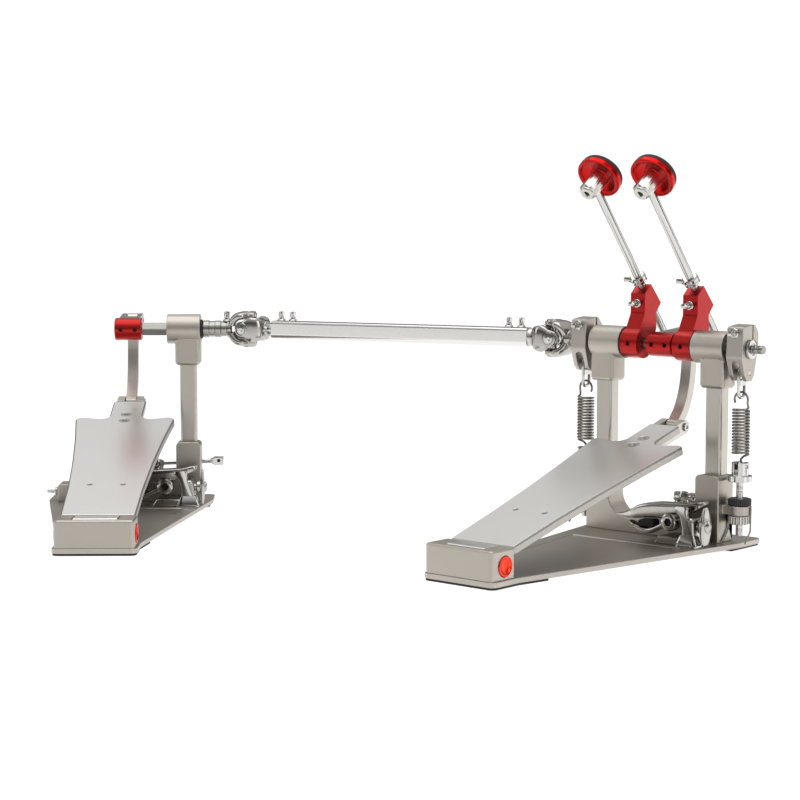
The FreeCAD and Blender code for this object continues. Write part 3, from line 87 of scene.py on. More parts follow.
MIDDLE = (-0.25, -0.15, 0.15)
bank("overhead_bank", (-0.3, -0.2, 2.3), MIDDLE, 2.6, 1.6, 22.0)
bank("drum_side_bank", (1.7, 2.3, 0.7), MIDDLE, 1.5, 1.2, 8.0)
bank("right_bank", (2.4, -0.3, 1.0), MIDDLE, 0.8, 1.6, 9.0)
bank("left_bank", (-2.4, -1.6, 1.1), MIDDLE, 1.0, 1.6, 9.0)


def joined_nodes(net, *pairs):
    """Links each (node, output name) to its (node, input name or number)."""
    for giver, taker in pairs:
        net.links.new(giver[0].outputs[giver[1]], taker[0].inputs[taker[1]])


room = bpy.data.worlds.new("room")
bpy.context.scene.world = room
room.use_nodes = True
net = room.node_tree
net.nodes.clear()
shown = net.nodes.new("ShaderNodeOutputWorld")
either = net.nodes.new("ShaderNodeMixShader")
ray = net.nodes.new("ShaderNodeLightPath")
backdrop = net.nodes.new("ShaderNodeBackground")
backdrop.inputs["Color"].default_value = (1.0, 1.0, 1.0, 1.0)
backdrop.inputs["Strength"].default_value = 1.05
walls = net.nodes.new("ShaderNodeBackground")
walls.inputs["Strength"].default_value = 0.80
way = net.nodes.new("ShaderNodeTexCoord")
parts_of_way = net.nodes.new("ShaderNodeSeparateXYZ")
height_of_way = net.nodes.new("ShaderNodeMapRange")
height_of_way.inputs["From Min"].default_value = -1.0
height_of_way.inputs["From Max"].default_value = 1.0
wall_tone = net.nodes.new("ShaderNodeValToRGB")
wall_tone.color_ramp.elements[0].color = (0.85, 0.845, 0.84, 1)
wall_tone.color_ramp.elements[1].color = (1.0, 1.0, 1.0, 1)
for level, tone in ((0.48, 0.70), (0.52, 0.24), (0.60, 0.14), (0.70, 0.55), (0.82, 1.0)):
    stop = wall_tone.color_ramp.elements.new(level)
    stop.color = (tone, tone * 0.985, tone * 0.965, 1)
joined_nodes(
    net,
    ((way, "Generated"), (parts_of_way, "Vector")),
    ((parts_of_way, "Z"), (height_of_way, "Value")),
    ((height_of_way, "Result"), (wall_tone, "Fac")),
    ((wall_tone, "Color"), (walls, "Color")),
    ((ray, "Is Camera Ray"), (either, "Fac")),
    ((walls, "Background"), (either, 1)),
    ((backdrop, "Background"), (either, 2)),
    ((either, "Shader"), (shown, "Surface")),
)

floor_mesh = bpy.data.meshes.new("floor")
floor_mesh.from_pydata([(-14, -14, 0), (14, -14, 0), (14, 14, 0), (-14, 14, 0)], [], [(0, 1, 2, 3)])
floor = bpy.data.objects.new("floor", floor_mesh)
bpy.context.scene.collection.objects.link(floor)
floor_paint = bpy.data.materials.new("floor_paint")
floor_paint.use_nodes = True
gloss = floor_paint.node_tree.nodes["Principled BSDF"]
gloss.inputs["Base Color"].default_value = (0.55, 0.55, 0.55, 1)
gloss.inputs["Roughness"].default_value = 0.18
gloss.inputs["Specular IOR Level"].default_value = 0.35
gloss.inputs["Emission Color"].default_value = (1.0, 1.0, 1.0, 1)
gloss.inputs["Emission Strength"].default_value = 0.80
floor_mesh.materials.append(floor_paint)

# ---- Floor plates -------------------------------------------------------------------
# A 5 mm aluminium plate under each pedal, milled with a shallow recess around the
# footboard and brushed from front to rear, on two rubber pads glued underneath.


def metal(name, colour, rough, streaks, grain, relief, metallic=1.0, cloud=0.05):
    """A metal with directional grain: streaks is how often it changes per metre in X, Y, Z."""
    made = bpy.data.materials.new(name)
    made.use_nodes = True
    net = made.node_tree
    shader = net.nodes["Principled BSDF"]
    shader.inputs["Metallic"].default_value = metallic
    where = net.nodes.new("ShaderNodeTexCoord")
    stretch = net.nodes.new("ShaderNodeMapping")
    stretch.inputs["Scale"].default_value = streaks
    fine = net.nodes.new("ShaderNodeTexNoise")
    fine.inputs["Scale"].default_value = 1.0
    fine.inputs["Detail"].default_value = 5.0
    broad = net.nodes.new("ShaderNodeTexNoise")
    broad.inputs["Scale"].default_value = 26.0
    broad.inputs["Detail"].default_value = 3.0
    tone = net.nodes.new("ShaderNodeMixRGB")
    tone.inputs["Color1"].default_value = tuple(c * (1 - cloud) for c in colour) + (1,)
    tone.inputs["Color2"].default_value = tuple(min(1.0, c * (1 + cloud)) for c in colour) + (1,)
    dull = net.nodes.new("ShaderNodeMapRange")
    dull.inputs["To Min"].default_value = max(0.02, rough - grain)
    dull.inputs["To Max"].default_value = rough + grain
    ridge = net.nodes.new("ShaderNodeBump")
    ridge.inputs["Distance"].default_value = relief
    joined_nodes(
        net,
        ((where, "Object"), (stretch, "Vector")),
        ((stretch, "Vector"), (fine, "Vector")),
        ((where, "Object"), (broad, "Vector")),
        ((broad, "Fac"), (tone, "Fac")),
        ((tone, "Color"), (shader, "Base Color")),
        ((fine, "Fac"), (dull, "Value")),
        ((dull, "Result"), (shader, "Roughness")),
        ((fine, "Fac"), (ridge, "Height")),
        ((ridge, "Normal"), (shader, "Normal")),
    )
    return made


CREASE = 36


def part(name, mesh, body, slot, stands_for, finishes, crease=CREASE):
    """Links a finished mesh as a piece that rides on its CAD body, smooth but for its creases."""
    for finish in finishes:
        mesh.materials.append(finish)
    if "custom_normal" in mesh.attributes:
        mesh.attributes.remove(mesh.attributes["custom_normal"])
    mesh.shade_smooth()
    mesh.set_sharp_from_angle(angle=math.radians(crease))
    piece = bpy.data.objects.new(name, mesh)
    bpy.context.scene.collection.objects.link(piece)
    if body:
        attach(piece, body)
    if stands_for:
        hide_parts(*stands_for)
    return piece


def broken_edges(piece, width):
    """Rounds a piece's sharp edges and keeps its flats flat."""
    rounding = piece.modifiers.new("broken_edges", "BEVEL")
    rounding.width = width
    rounding.segments = 2
    rounding.limit_method = "ANGLE"
    rounding.angle_limit = math.radians(CREASE)
    rounding.use_clamp_overlap = False
    flats = piece.modifiers.new("flats", "WEIGHTED_NORMAL")
    flats.keep_sharp = True
    return piece


def shells(bm):
    """The separate solids of a mesh, as lists of faces."""
    left = set(bm.faces)
    while left:
        edge_of_search = [left.pop()]
        shell = []
        while edge_of_search:
            face = edge_of_search.pop()
            shell.append(face)
            for edge in face.edges:
                for beside in edge.link_faces:
                    if beside in left:
                        left.remove(beside)
                        edge_of_search.append(beside)
        yield shell


def fettled(name, node, body, slot, finishes, finish_of=None, *, width, drop=None):
    """A CAD node copied as one clean casting: seams merged, flats cleaned, edges broken.

    finish_of gives the number of a solid's finish from its middle and size, and drop says
    which solids are left out because a more detailed piece stands for them."""
    bm = bmesh.new()
    bm.from_mesh(frame["nodes"][node].data)
    bmesh.ops.remove_doubles(bm, verts=bm.verts[:], dist=2e-6)
    bmesh.ops.dissolve_limit(bm, angle_limit=math.radians(0.35), verts=bm.verts[:], edges=bm.edges[:])
    unwanted = []
    for shell in shells(bm):
        corners = [vert.co for face in shell for vert in face.verts]
        low = Vector([min(c[i] for c in corners) for i in range(3)])
        high = Vector([max(c[i] for c in corners) for i in range(3)])
        middle, size = (low + high) / 2, high - low
        if drop and drop(middle, size):
            unwanted += shell
            continue
        number = finish_of(middle, size) if finish_of else 0
        for face in shell:
            face.material_index = number
    bmesh.ops.delete(bm, geom=unwanted, context="FACES")
    mesh = bpy.data.meshes.new(name)
    bm.to_mesh(mesh)
    bm.free()
    return broken_edges(part(name, mesh, body, slot, [node], finishes), width)


PEDALS = (("primary", "root"), ("secondary", "secondary_stand"))

plate_satin = metal("plate_satin", (0.46, 0.43, 0.39), 0.40, (700, 25, 700), 0.06, 0.00004)
rubber = metal("black_rubber", (0.018, 0.018, 0.018), 0.72, (1600, 1600, 1600), 0.1, 0.00012, 0.0, 0.25)
for pedal, stand in PEDALS:
    fettled(f"{pedal}_floor_plate", f"{pedal}_base_plate", stand, "cast_grey", [plate_satin], width=0.0005)
    fettled(f"{pedal}_floor_pads", f"{pedal}_foot_pads", stand, "black_rubber", [rubber], width=0.0004)

# ---- Heel blocks --------------------------------------------------------------------
# A milled block bolted to the front of each plate. The footboard's hinge pin runs through
# it, and an orange anodised cap with a dished face closes the pin's bore on each side.

casting_satin = metal("casting_satin", (0.44, 0.408, 0.365), 0.42, (2200, 2200, 2200), 0.07, 0.00003)
bright_pin = metal("bright_pin", (0.60, 0.595, 0.58), 0.18, (900, 900, 900), 0.04, 0.00001)
cap_orange = metal("cap_orange", (0.72, 0.045, 0.015), 0.24, (1500, 1500, 1500), 0.04, 0.00001, 0.85)


def spun(bm, profile, place, sides=48, corners=6, finish=0):
    """Adds a turned solid. The profile is (radius, along) from one end to the other, in
    metres along the place's own Z, and a third number mills that ring to that half width."""
    rings = []
    for radius, along, *half_width in profile:
        if radius == 0:
            rings.append([bm.verts.new(place @ Vector((0, 0, along)))])
            continue
        ring = []
        for step in range(sides):
            turn = 2 * math.pi * step / sides
            reach = radius
            if half_width:
                off_flat = turn % (2 * math.pi / corners) - math.pi / corners
                reach = min(radius, half_width[0] / math.cos(off_flat))
            ring.append(bm.verts.new(place @ Vector((reach * math.cos(turn), reach * math.sin(turn), along))))
        rings.append(ring)
    faces = []
    for low, high in zip(rings, rings[1:]):
        for step in range(sides):
            after = (step + 1) % sides
            if len(low) == 1:
                faces.append((low[0], high[after], high[step]))
            elif len(high) == 1:
                faces.append((low[step], low[after], high[0]))
            else:
                faces.append((low[step], low[after], high[after], high[step]))
    if len(rings[0]) > 1:
        faces.append(tuple(reversed(rings[0])))
    if len(rings[-1]) > 1:
        faces.append(tuple(rings[-1]))
    for corners_of_face in faces:
        bm.faces.new(corners_of_face).material_index = finish


def prism(bm, outline, place, low, high):
    """Adds a straight prism: an outline in the place's YZ plane from low to high along X."""
    near = [bm.verts.new(place @ Vector((low, y, z))) for y, z in outline]
    far = [bm.verts.new(place @ Vector((high, y, z))) for y, z in outline]
    bm.faces.new(near)
    bm.faces.new(far[::-1])
    for i, after in zip(range(len(outline)), [*range(1, len(outline)), 0]):
        bm.faces.new((near[i], far[i], far[after], near[after]))


def facing(at, direction, roll=0.0):
    """A place whose Z points along a direction."""
    turn = Vector(direction).to_track_quat("Z", "Y").to_matrix().to_4x4()
    return Matrix.Translation(Vector(at)) @ turn @ Matrix.Rotation(roll, 4, "Z")


def make(name, bm, *place_and_look, **more):
    """Turns a mesh in the making into a piece, with its faces outwards."""
    bmesh.ops.recalc_face_normals(bm, faces=bm.faces[:])
    mesh = bpy.data.meshes.new(name)
    bm.to_mesh(mesh)
    bm.free()
    return part(name, mesh, *place_and_look, **more)


CAP_RADIUS = 0.0097
HEEL_BACK, HEEL_UP = -0.307, 0.0195
HINGES = {joint["name"]: joint for joint in frame["joints"]}


def at_pedal(pedal):
    """The place of a pedal's own frame: its axle along X, the drum side at +Y."""
    if pedal == "primary":
        return Matrix.Identity(4)
    across = -Vector(HINGES["secondary_footboard_tilt"]["axis"])
    turn = math.atan2(across.y, across.x)
    heel = Vector(HINGES["secondary_footboard_tilt"]["pos_m"])
    spin = Matrix.Rotation(turn, 4, "Z")
    return Matrix.Translation(heel - spin @ Vector((0, HEEL_BACK, HEEL_UP))) @ spin


MIDDLE_OF = {"primary": 0.003, "secondary": 0.0}
HEEL_HALF = 0.0395
for pedal, stand in PEDALS:
    own = at_pedal(pedal)
    fettled(f"{pedal}_heel", f"{pedal}_heel_block", stand, "cast_grey", [casting_satin], width=0.0004)
    bm = bmesh.new()
    for side in (-1, 1):
        centre = own @ Vector((MIDDLE_OF[pedal] + side * (HEEL_HALF - 0.0015), HEEL_BACK, HEEL_UP))
        out = own.to_3x3() @ Vector((side, 0, 0))
        spun(bm, [(CAP_RADIUS, 0), (CAP_RADIUS, 0.0021), (CAP_RADIUS - 0.0006, 0.0027), (0.0079, 0.0027),
                  (0.0073, 0.0023), (0.0062, 0.0013), (0.0040, 0.0008), (0, 0.0007)], facing(centre, out), 64)
    spun(bm, [(0.003, 0), (0.003, 2 * HEEL_HALF - 0.003)],
         facing(own @ Vector((MIDDLE_OF[pedal] - HEEL_HALF + 0.0015, HEEL_BACK, HEEL_UP)),
                own.to_3x3() @ Vector((1, 0, 0))), finish=1)
    make(f"{pedal}_hinge_caps", bm, stand, "red_anodised",
         [f"{pedal}_hinge_pin_and_caps"], [cap_orange, bright_pin])

# ---- Footboards ---------------------------------------------------------------------
# A long board of 7.5 mm aluminium plate with a bright satin face, a bevelled rim and a
# waist before the neck. Flush hexagon-socket screws hold the toe bracket and the heel leaf.

board_satin = metal("board_satin", (0.78, 0.775, 0.765), 0.30, (900, 30, 300), 0.035, 0.000008, cloud=0.015)
# The darker copy of the board metal is painted shade for the faces that don't point up, the sides and the
# bevelled rim.
board_sides_painted_shade = metal("board_sides_painted_shade", (0.36, 0.345, 0.32), 0.30, (900, 30, 300), 0.05, 0.00001)
bracket_satin = metal("bracket_satin", (0.52, 0.495, 0.46), 0.30, (1200, 1200, 1200), 0.05, 0.00002)
screw_steel = metal("screw_steel", (0.46, 0.45, 0.43), 0.22, (1500, 1500, 1500), 0.05, 0.00001)
STRIP_HALF = 0.0218
for pedal, middle in MIDDLE_OF.items():
    board = f"{pedal}_footboard"
    plank = fettled(f"{pedal}_board", board, board, "board_aluminium", [board_satin, board_sides_painted_shade], width=0.0003)
    # Faces pointing up take the bright board metal, and all other faces take its darker copy as painted
    # shade.
    for face in plank.data.polygons:
        face.material_index = 0 if face.normal.z > 0.94 else 1
    fettled(f"{pedal}_board_screws", f"{pedal}_footboard_screws", board, "chrome", [screw_steel],
            width=0.00018)
    fettled(f"{pedal}_board_leaf_and_bracket", f"{pedal}_heel_leaf_and_toe_bracket", board,
            "bright_aluminium", [bracket_satin], width=0.0004)

    # A bright strip covers the leaf, level with the top of the heel block.
    bm = bmesh.new()
    prism(bm, [(-0.3152, 0.0326), (-0.3152, 0.0343), (-0.3144, 0.0351), (-0.2950, 0.0351), (-0.2942, 0.0343),
               (-0.2942, 0.0326)], at_pedal(pedal), middle - STRIP_HALF, middle + STRIP_HALF)
    broken_edges(make(f"{pedal}_leaf_strip", bm, board, "bright_aluminium", (), [board_satin]), 0.0003)

# ---- Stands -------------------------------------------------------------------------
# The cast feet and the web between them are one piece. Extruded posts are pressed into the
# feet, and the cast bearing heads sit on top, each with a steel sleeve and a rubber seal.

post_satin = metal("post_satin", (0.46, 0.432, 0.39), 0.33, (900, 900, 22), 0.06, 0.00003)
for pedal, stand in PEDALS:
    posts = "primary_posts" if pedal == "primary" else "secondary_post"
    heads = "primary_bearing_heads" if pedal == "primary" else "secondary_bearing_head"
    fettled(f"{pedal}_feet_and_web", f"{pedal}_stand_foot", stand, "cast_grey", [casting_satin, screw_steel],
            lambda middle, size: 1 if size.z < 0.02 else 0, width=0.0008)
    fettled(f"{pedal}_post_bars", posts, stand, "bright_aluminium", [post_satin], width=0.0003)
    fettled(f"{pedal}_heads", heads, stand, "cast_grey", [casting_satin, rubber, screw_steel],
            lambda at, size, to_own=at_pedal(pedal).inverted(): 0 if size.z > 0.040 else (
                2 if abs(abs((to_own @ at).x) - 0.062) < 0.005 else 1), width=0.0006)

# ---- Drive cams and links -----------------------------------------------------------
# A red cam is clamped on each axle by two socket screws. Two silver arms behind it carry a
# pin, and a curved one-piece link joins that pin to the toe of the footboard.

red_anodised = metal("red_anodised", (0.37, 0.006, 0.005), 0.30, (1400, 1400, 1400), 0.05, 0.00001, 0.9)
red_anodised.node_tree.nodes["Principled BSDF"].inputs["Coat Weight"].default_value = 0.22
red_anodised.node_tree.nodes["Principled BSDF"].inputs["Coat Roughness"].default_value = 0.28
black_oxide = metal("black_oxide", (0.03, 0.03, 0.032), 0.4, (1500, 1500, 1500), 0.05, 0.00001)
link_satin = metal("link_satin", (0.50, 0.475, 0.43), 0.34, (1400, 1400, 90), 0.05, 0.00002)
AXLE_UP, AXLE_RADIUS = 0.200, 0.006
SET_SCREW_RADIUS = 0.0021
CAM_PIVOT = Vector((0, 0.045, 0.207))
TOE_PIVOT = Vector((0, 0.0185, 0.1155))
LINK_HALF = 0.006


def smooth_line(points, steps=8):
    """Points along a smooth curve through the given ones."""
    points = [Vector(point) for point in points]
    line = []
    padded = [points[0] * 2 - points[1], *points, points[-1] * 2 - points[-2]]
    for a, b, c, d in zip(padded, padded[1:], padded[2:], padded[3:]):
        for step in range(steps):
            t = step / steps
            line.append(0.5 * (2 * b + (c - a) * t + (2 * a - 5 * b + 4 * c - d) * t * t
                               + (3 * b - a - 3 * c + d) * t * t * t))
    return line + [points[-1]]


def socket_screw(bm, at, out):
    """Adds a set screw with a hexagon socket, sunk below the surface it points out of."""
    radius = SET_SCREW_RADIUS
    spun(bm, [(radius, -0.004), (radius, 0), (radius * 0.86, 0.0004), (radius * 0.6, 0.0004, radius * 0.52),
              (radius * 0.6, -0.0016, radius * 0.52), (0, -0.0019)], facing(at, out), 24)


for pedal, middle in MIDDLE_OF.items():
    own = at_pedal(pedal)
    axle_body = "right_axle" if pedal == "primary" else "secondary_axle"
    to_own = own.inverted()
    fettled(f"{pedal}_cam_and_arms", f"{pedal}_drive_cam", axle_body, "red_anodised",
            [red_anodised, bracket_satin, bright_pin],
            lambda at, size, to_own=to_own: 0 if abs((to_own @ at).y) < 0.004 else (
                2 if size.z < 0.0075 else 1), width=0.0004)
    bm = bmesh.new()
    for offset in (-0.008, 0.008):
        socket_screw(bm, own @ Vector((middle + offset, -0.0098, AXLE_UP)), own.to_3x3() @ Vector((0, -1, 0)))
    make(f"{pedal}_cam_screws", bm, axle_body, "chrome", (), [black_oxide])

    centre = smooth_line([CAM_PIVOT, (0, 0.0452, 0.190), (0, 0.0440, 0.170), (0, 0.0400, 0.150),
                          (0, 0.0320, 0.132), TOE_PIVOT])
    left, right = [], []
    for index, point in enumerate(centre):
        run = (centre[min(index + 1, len(centre) - 1)] - centre[max(index - 1, 0)]).normalized()
        aside = Vector((0, -run.z, run.y)) * 0.0053
        left.append(((point + aside).y, (point + aside).z))
        right.append(((point - aside).y, (point - aside).z))
    bm = bmesh.new()
    slide = own @ Matrix.Translation((middle, 0, 0))
    prism(bm, left + right[::-1], slide, -LINK_HALF, LINK_HALF)
    for pivot, radius, half in ((CAM_PIVOT, 0.008, LINK_HALF), (TOE_PIVOT, 0.0067, LINK_HALF)):
        spun(bm, [(0.0045, -half), (radius, -half), (radius, half), (0.0045, half), (0.0045, -half)],
             slide @ facing(pivot, (1, 0, 0)), 48)
    bmesh.ops.remove_doubles(bm, verts=bm.verts[:], dist=1e-6)
    broken_edges(make(f"{pedal}_link_arm", bm, f"{pedal}_link", "bright_aluminium",
                      [f"{pedal}_drive_link"], [link_satin]), 0.0007)

# ---- Axles --------------------------------------------------------------------------
# Steel bars in the bearing heads. The right one ends in a threaded stub beside its cam, the
# left one in a yoke, and the secondary one is hexagonal by its cam and carries a coupler.

axle_steel = metal("axle_steel", (0.32, 0.31, 0.29), 0.24, (60, 1500, 1500), 0.06, 0.00001)
chrome = metal("chrome", (0.52, 0.515, 0.50), 0.09, (900, 900, 900), 0.03, 0.000004, cloud=0.02)
fettled("right_axle_bar", "right_axle", "right_axle", "axle_steel", [axle_steel], width=0.0003)


def growth_tree(name, **inputs):
    """A tree with named inputs that ends by realizing what it grows and giving it a finish."""
    tree = bpy.data.node_groups.new(name, "GeometryNodeTree")
    face = tree.interface
    face.new_socket("Geometry", in_out="INPUT", socket_type="NodeSocketGeometry")
    ids = {}
    for label, kind in (inputs | {"Finish": "Material"}).items():
        ids[label] = face.new_socket(label, in_out="INPUT", socket_type=f"NodeSocket{kind}").identifier
    face.new_socket("Geometry", in_out="OUTPUT", socket_type="NodeSocketGeometry")
    given, made = tree.nodes.new("NodeGroupInput"), tree.nodes.new("NodeGroupOutput")
    real = tree.nodes.new("GeometryNodeRealizeInstances")
    finish = tree.nodes.new("GeometryNodeSetMaterial")
    joined_nodes(tree, ((real, "Geometry"), (finish, "Geometry")), ((given, "Finish"), (finish, "Material")),
                 ((finish, "Geometry"), (made, "Geometry")))
    return tree, ids, given, real


def swept(tree, real, section_sides=None):
    """Adds the round section and the sweep that follow a curve, and realizes them."""
    section = tree.nodes.new("GeometryNodeCurvePrimitiveCircle")
    if section_sides:
        section.inputs["Resolution"].default_value = section_sides
    solid = tree.nodes.new("GeometryNodeCurveToMesh")
    solid.inputs["Fill Caps"].default_value = True
    joined_nodes(tree, ((section, "Curve"), (solid, "Profile Curve")), ((solid, "Mesh"), (real, "Geometry")))
    return section, solid


def thread_growth():
    """A tree that winds one thread around a rod from z 0 up to its length."""
    tree, ids, given, real = growth_tree("screw_thread", Radius="Float", Pitch="Float", Length="Float",
                                         Depth="Float")
    turns = tree.nodes.new("ShaderNodeMath")
    turns.operation = "DIVIDE"
    winding = tree.nodes.new("GeometryNodeCurveSpiral")
    winding.inputs["Resolution"].default_value = 20
    ridge, solid = swept(tree, real, 4)
    joined_nodes(
        tree,
        ((given, "Length"), (turns, 0)), ((given, "Pitch"), (turns, 1)),
        ((turns, "Value"), (winding, "Rotations")),
        ((given, "Radius"), (winding, "Start Radius")), ((given, "Radius"), (winding, "End Radius")),
        ((given, "Length"), (winding, "Height")), ((given, "Depth"), (ridge, "Radius")),
        ((winding, "Curve"), (solid, "Curve")),
    )
    return tree, ids


def grown(growth, seed_mesh=None, **inputs):
    """The plain mesh that a tree makes, with its inputs set by their sockets' identifiers."""
    tree, ids = growth
    seed = bpy.data.objects.new("seed", seed_mesh or bpy.data.meshes.new("seed"))
    bpy.context.scene.collection.objects.link(seed)
    growing = seed.modifiers.new("growth", "NODES")
    growing.node_group = tree
    for label, value in inputs.items():
        growing[ids[label]] = value
    bpy.context.view_layer.update()
    mesh = bpy.data.meshes.new_from_object(seed.evaluated_get(bpy.context.evaluated_depsgraph_get()))
    seed.modifiers.remove(growing)
    bpy.data.objects.remove(seed)
    return mesh


def added(bm, mesh, place=Matrix.Identity(4), finish=0):
    """Adds a mesh to a piece in the making, moved to its place."""
    mesh.transform(place)
    before = len(bm.faces)
    bm.from_mesh(mesh)
    bm.faces.ensure_lookup_table()
    for face in bm.faces[before:]:
        face.material_index = finish


screw_thread = thread_growth()
bm = bmesh.new()
added(bm, grown(screw_thread, Radius=0.0039, Pitch=0.0012, Length=0.0115, Depth=0.00045),
      facing((0.1068, 0, AXLE_UP), (1, 0, 0)))
make("right_axle_thread", bm, "right_axle", "axle_steel", (), [axle_steel])

# ---- Beater holders and beaters -----------------------------------------------------
# Each red holder is clamped on an axle by a set screw. A drum key bolt in its front face
# grips the steel rod, which carries a stop collar and a hexagonal head with a red disc.

KEY_AP = 0.0023


def key_bolt(bm, at, out, length, flange=0.0046, finish=0):
    """Adds a drum key bolt: a rounded flange, a neck and a square head with a domed end."""
    spun(bm, [(flange - 0.0004, 0), (flange, 0.0005), (flange, 0.0015), (flange - 0.0007, 0.0022),
              (0.0031, 0.0023),
              (0.0029, 0.0030), (0.0029, length - 0.0062), (0.0025, length - 0.0056),
              (0.0032, length - 0.0052, KEY_AP), (0.0032, length - 0.0010, KEY_AP),
              (0.0027, length - 0.0003, KEY_AP), (0.0016, length, KEY_AP), (0, length + 0.0001)],
         facing(at, out, math.radians(45)), 48, 4, finish)


FOOT = Vector((0, 0.050, 0.208))
HEAD = Vector((0, -0.075, 0.361))
ROD_WAY = (HEAD - FOOT).normalized()
ROD_LENGTH = (HEAD - FOOT).length
TO_DRUM = Vector((0, ROD_WAY.z, -ROD_WAY.y))
red_disc = metal("red_disc", (0.42, 0.007, 0.006), 0.22, (300, 300, 300), 0.03, 0.000005, 0.92)
barrel_satin = metal("barrel_satin", (0.50, 0.485, 0.46), 0.26, (1500, 1500, 1500), 0.05, 0.00001)
HOLDER_MIDDLE = {side: sum(corner[0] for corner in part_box(f"{side}_beater_holder")) / 2
                 for side in ("right", "left")}
for side, middle in HOLDER_MIDDLE.items():
    axle_body = f"{side}_axle"
    fettled(f"{side}_holder", f"{side}_beater_holder", axle_body, "red_anodised", [red_anodised],
            width=0.0005)
    bm = bmesh.new()
    socket_screw(bm, (middle, -0.0125, AXLE_UP), (0, -1, 0))
    make(f"{side}_holder_set_screw", bm, axle_body, "chrome", (), [black_oxide])

    rod = bmesh.new()
    along_rod = facing(FOOT + Vector((middle, 0, 0)), ROD_WAY)
    spun(rod, [(0.0032, 0), (0.004, 0.0008), (0.004, ROD_LENGTH - 0.001),
               (0.0034, ROD_LENGTH)], along_rod, 40)
    spun(rod, [(0.0040, 0.0695), (0.0068, 0.0695), (0.0080, 0.0705), (0.0080, 0.0730), (0.0074, 0.0735),
               (0.0074, 0.0745), (0.0080, 0.0750), (0.0080, 0.0775), (0.0068, 0.0785), (0.0040, 0.0785)],
         along_rod, 48)
    collar_mid = FOOT + Vector((middle, 0, 0)) + ROD_WAY * 0.074
    key_bolt(rod, collar_mid + Vector((-0.0068, 0, 0)) - TO_DRUM * 0.002, (-1, -0.45, 0), 0.0085, 0.0034)
    make(f"{side}_rod", rod, f"{side}_beater", "chrome", [f"{side}_beater_rod"], [chrome])

    head = bmesh.new()
    across = facing(HEAD + Vector((middle, 0, 0)), TO_DRUM, math.radians(30))
    spun(head, [(0, -0.0088), (0.0026, -0.0088), (0.0026, -0.0152), (0.0034, -0.0160), (0.0066, -0.0160),
                (0.0074, -0.0152), (0.0074, -0.0140), (0.0080, -0.0136, 0.0085), (0.0098, -0.0122, 0.0085),
                (0.0098, 0.0070, 0.0085), (0.0090, 0.0080, 0.0085), (0.0090, 0.0110)], across, 72)
    spun(head, [(0.0088, 0.0104), (0.0098, 0.0112), (0.0170, 0.0100), (0.0192, 0.0092), (0.0203, 0.0081),
                (0.0216, 0.0080), (0.0227, 0.0087), (0.0230, 0.0100), (0.0230, 0.0133), (0.0224, 0.0140),
                (0.0080, 0.0140)], across, 96, finish=1)
    make(f"{side}_head", head, f"{side}_beater", "red_anodised",
         [f"{side}_beater_head"], [barrel_satin, red_disc], crease=30)
    pad = bmesh.new()
    spun(pad, [(0, 0.0141), (0.0216, 0.0141), (0.0223, 0.0148), (0.0224, 0.0160), (0.0224, 0.0172),
               (0.0219, 0.0184), (0.0208, 0.0190), (0.0150, 0.0190), (0, 0.0190)], across, 96)
    make(f"{side}_pad", pad, f"{side}_beater", "black_rubber", [f"{side}_beater_pad"], [rubber])

# ---- Spring cams and hooks ----------------------------------------------------------
# A cast cam on each axle end is split at the back and clamped by a drum key bolt. A pin
# across its slot holds a forged link, and the spring's open loop hangs in that link.


def wire_growth():
    """A tree that draws a round wire along the edges of a path, with closed ends."""
    tree, ids, given, real = growth_tree("wire_along_path", Radius="Float", Sides="Int")
    line = tree.nodes.new("GeometryNodeMeshToCurve")
    section, solid = swept(tree, real)
    joined_nodes(
        tree,
        ((given, "Geometry"), (line, "Mesh")), ((line, "Curve"), (solid, "Curve")),
        ((given, "Radius"), (section, "Radius")), ((given, "Sides"), (section, "Resolution")),
    )
    return tree, ids


def wire(line, radius, sides=16):
    """A round wire along a line of points."""
    path = bpy.data.meshes.new("wire")
    path.from_pydata([tuple(point) for point in line], [(i, i + 1) for i in range(len(line) - 1)], [])
    return grown(wire_along_path, path, Radius=radius, Sides=sides)


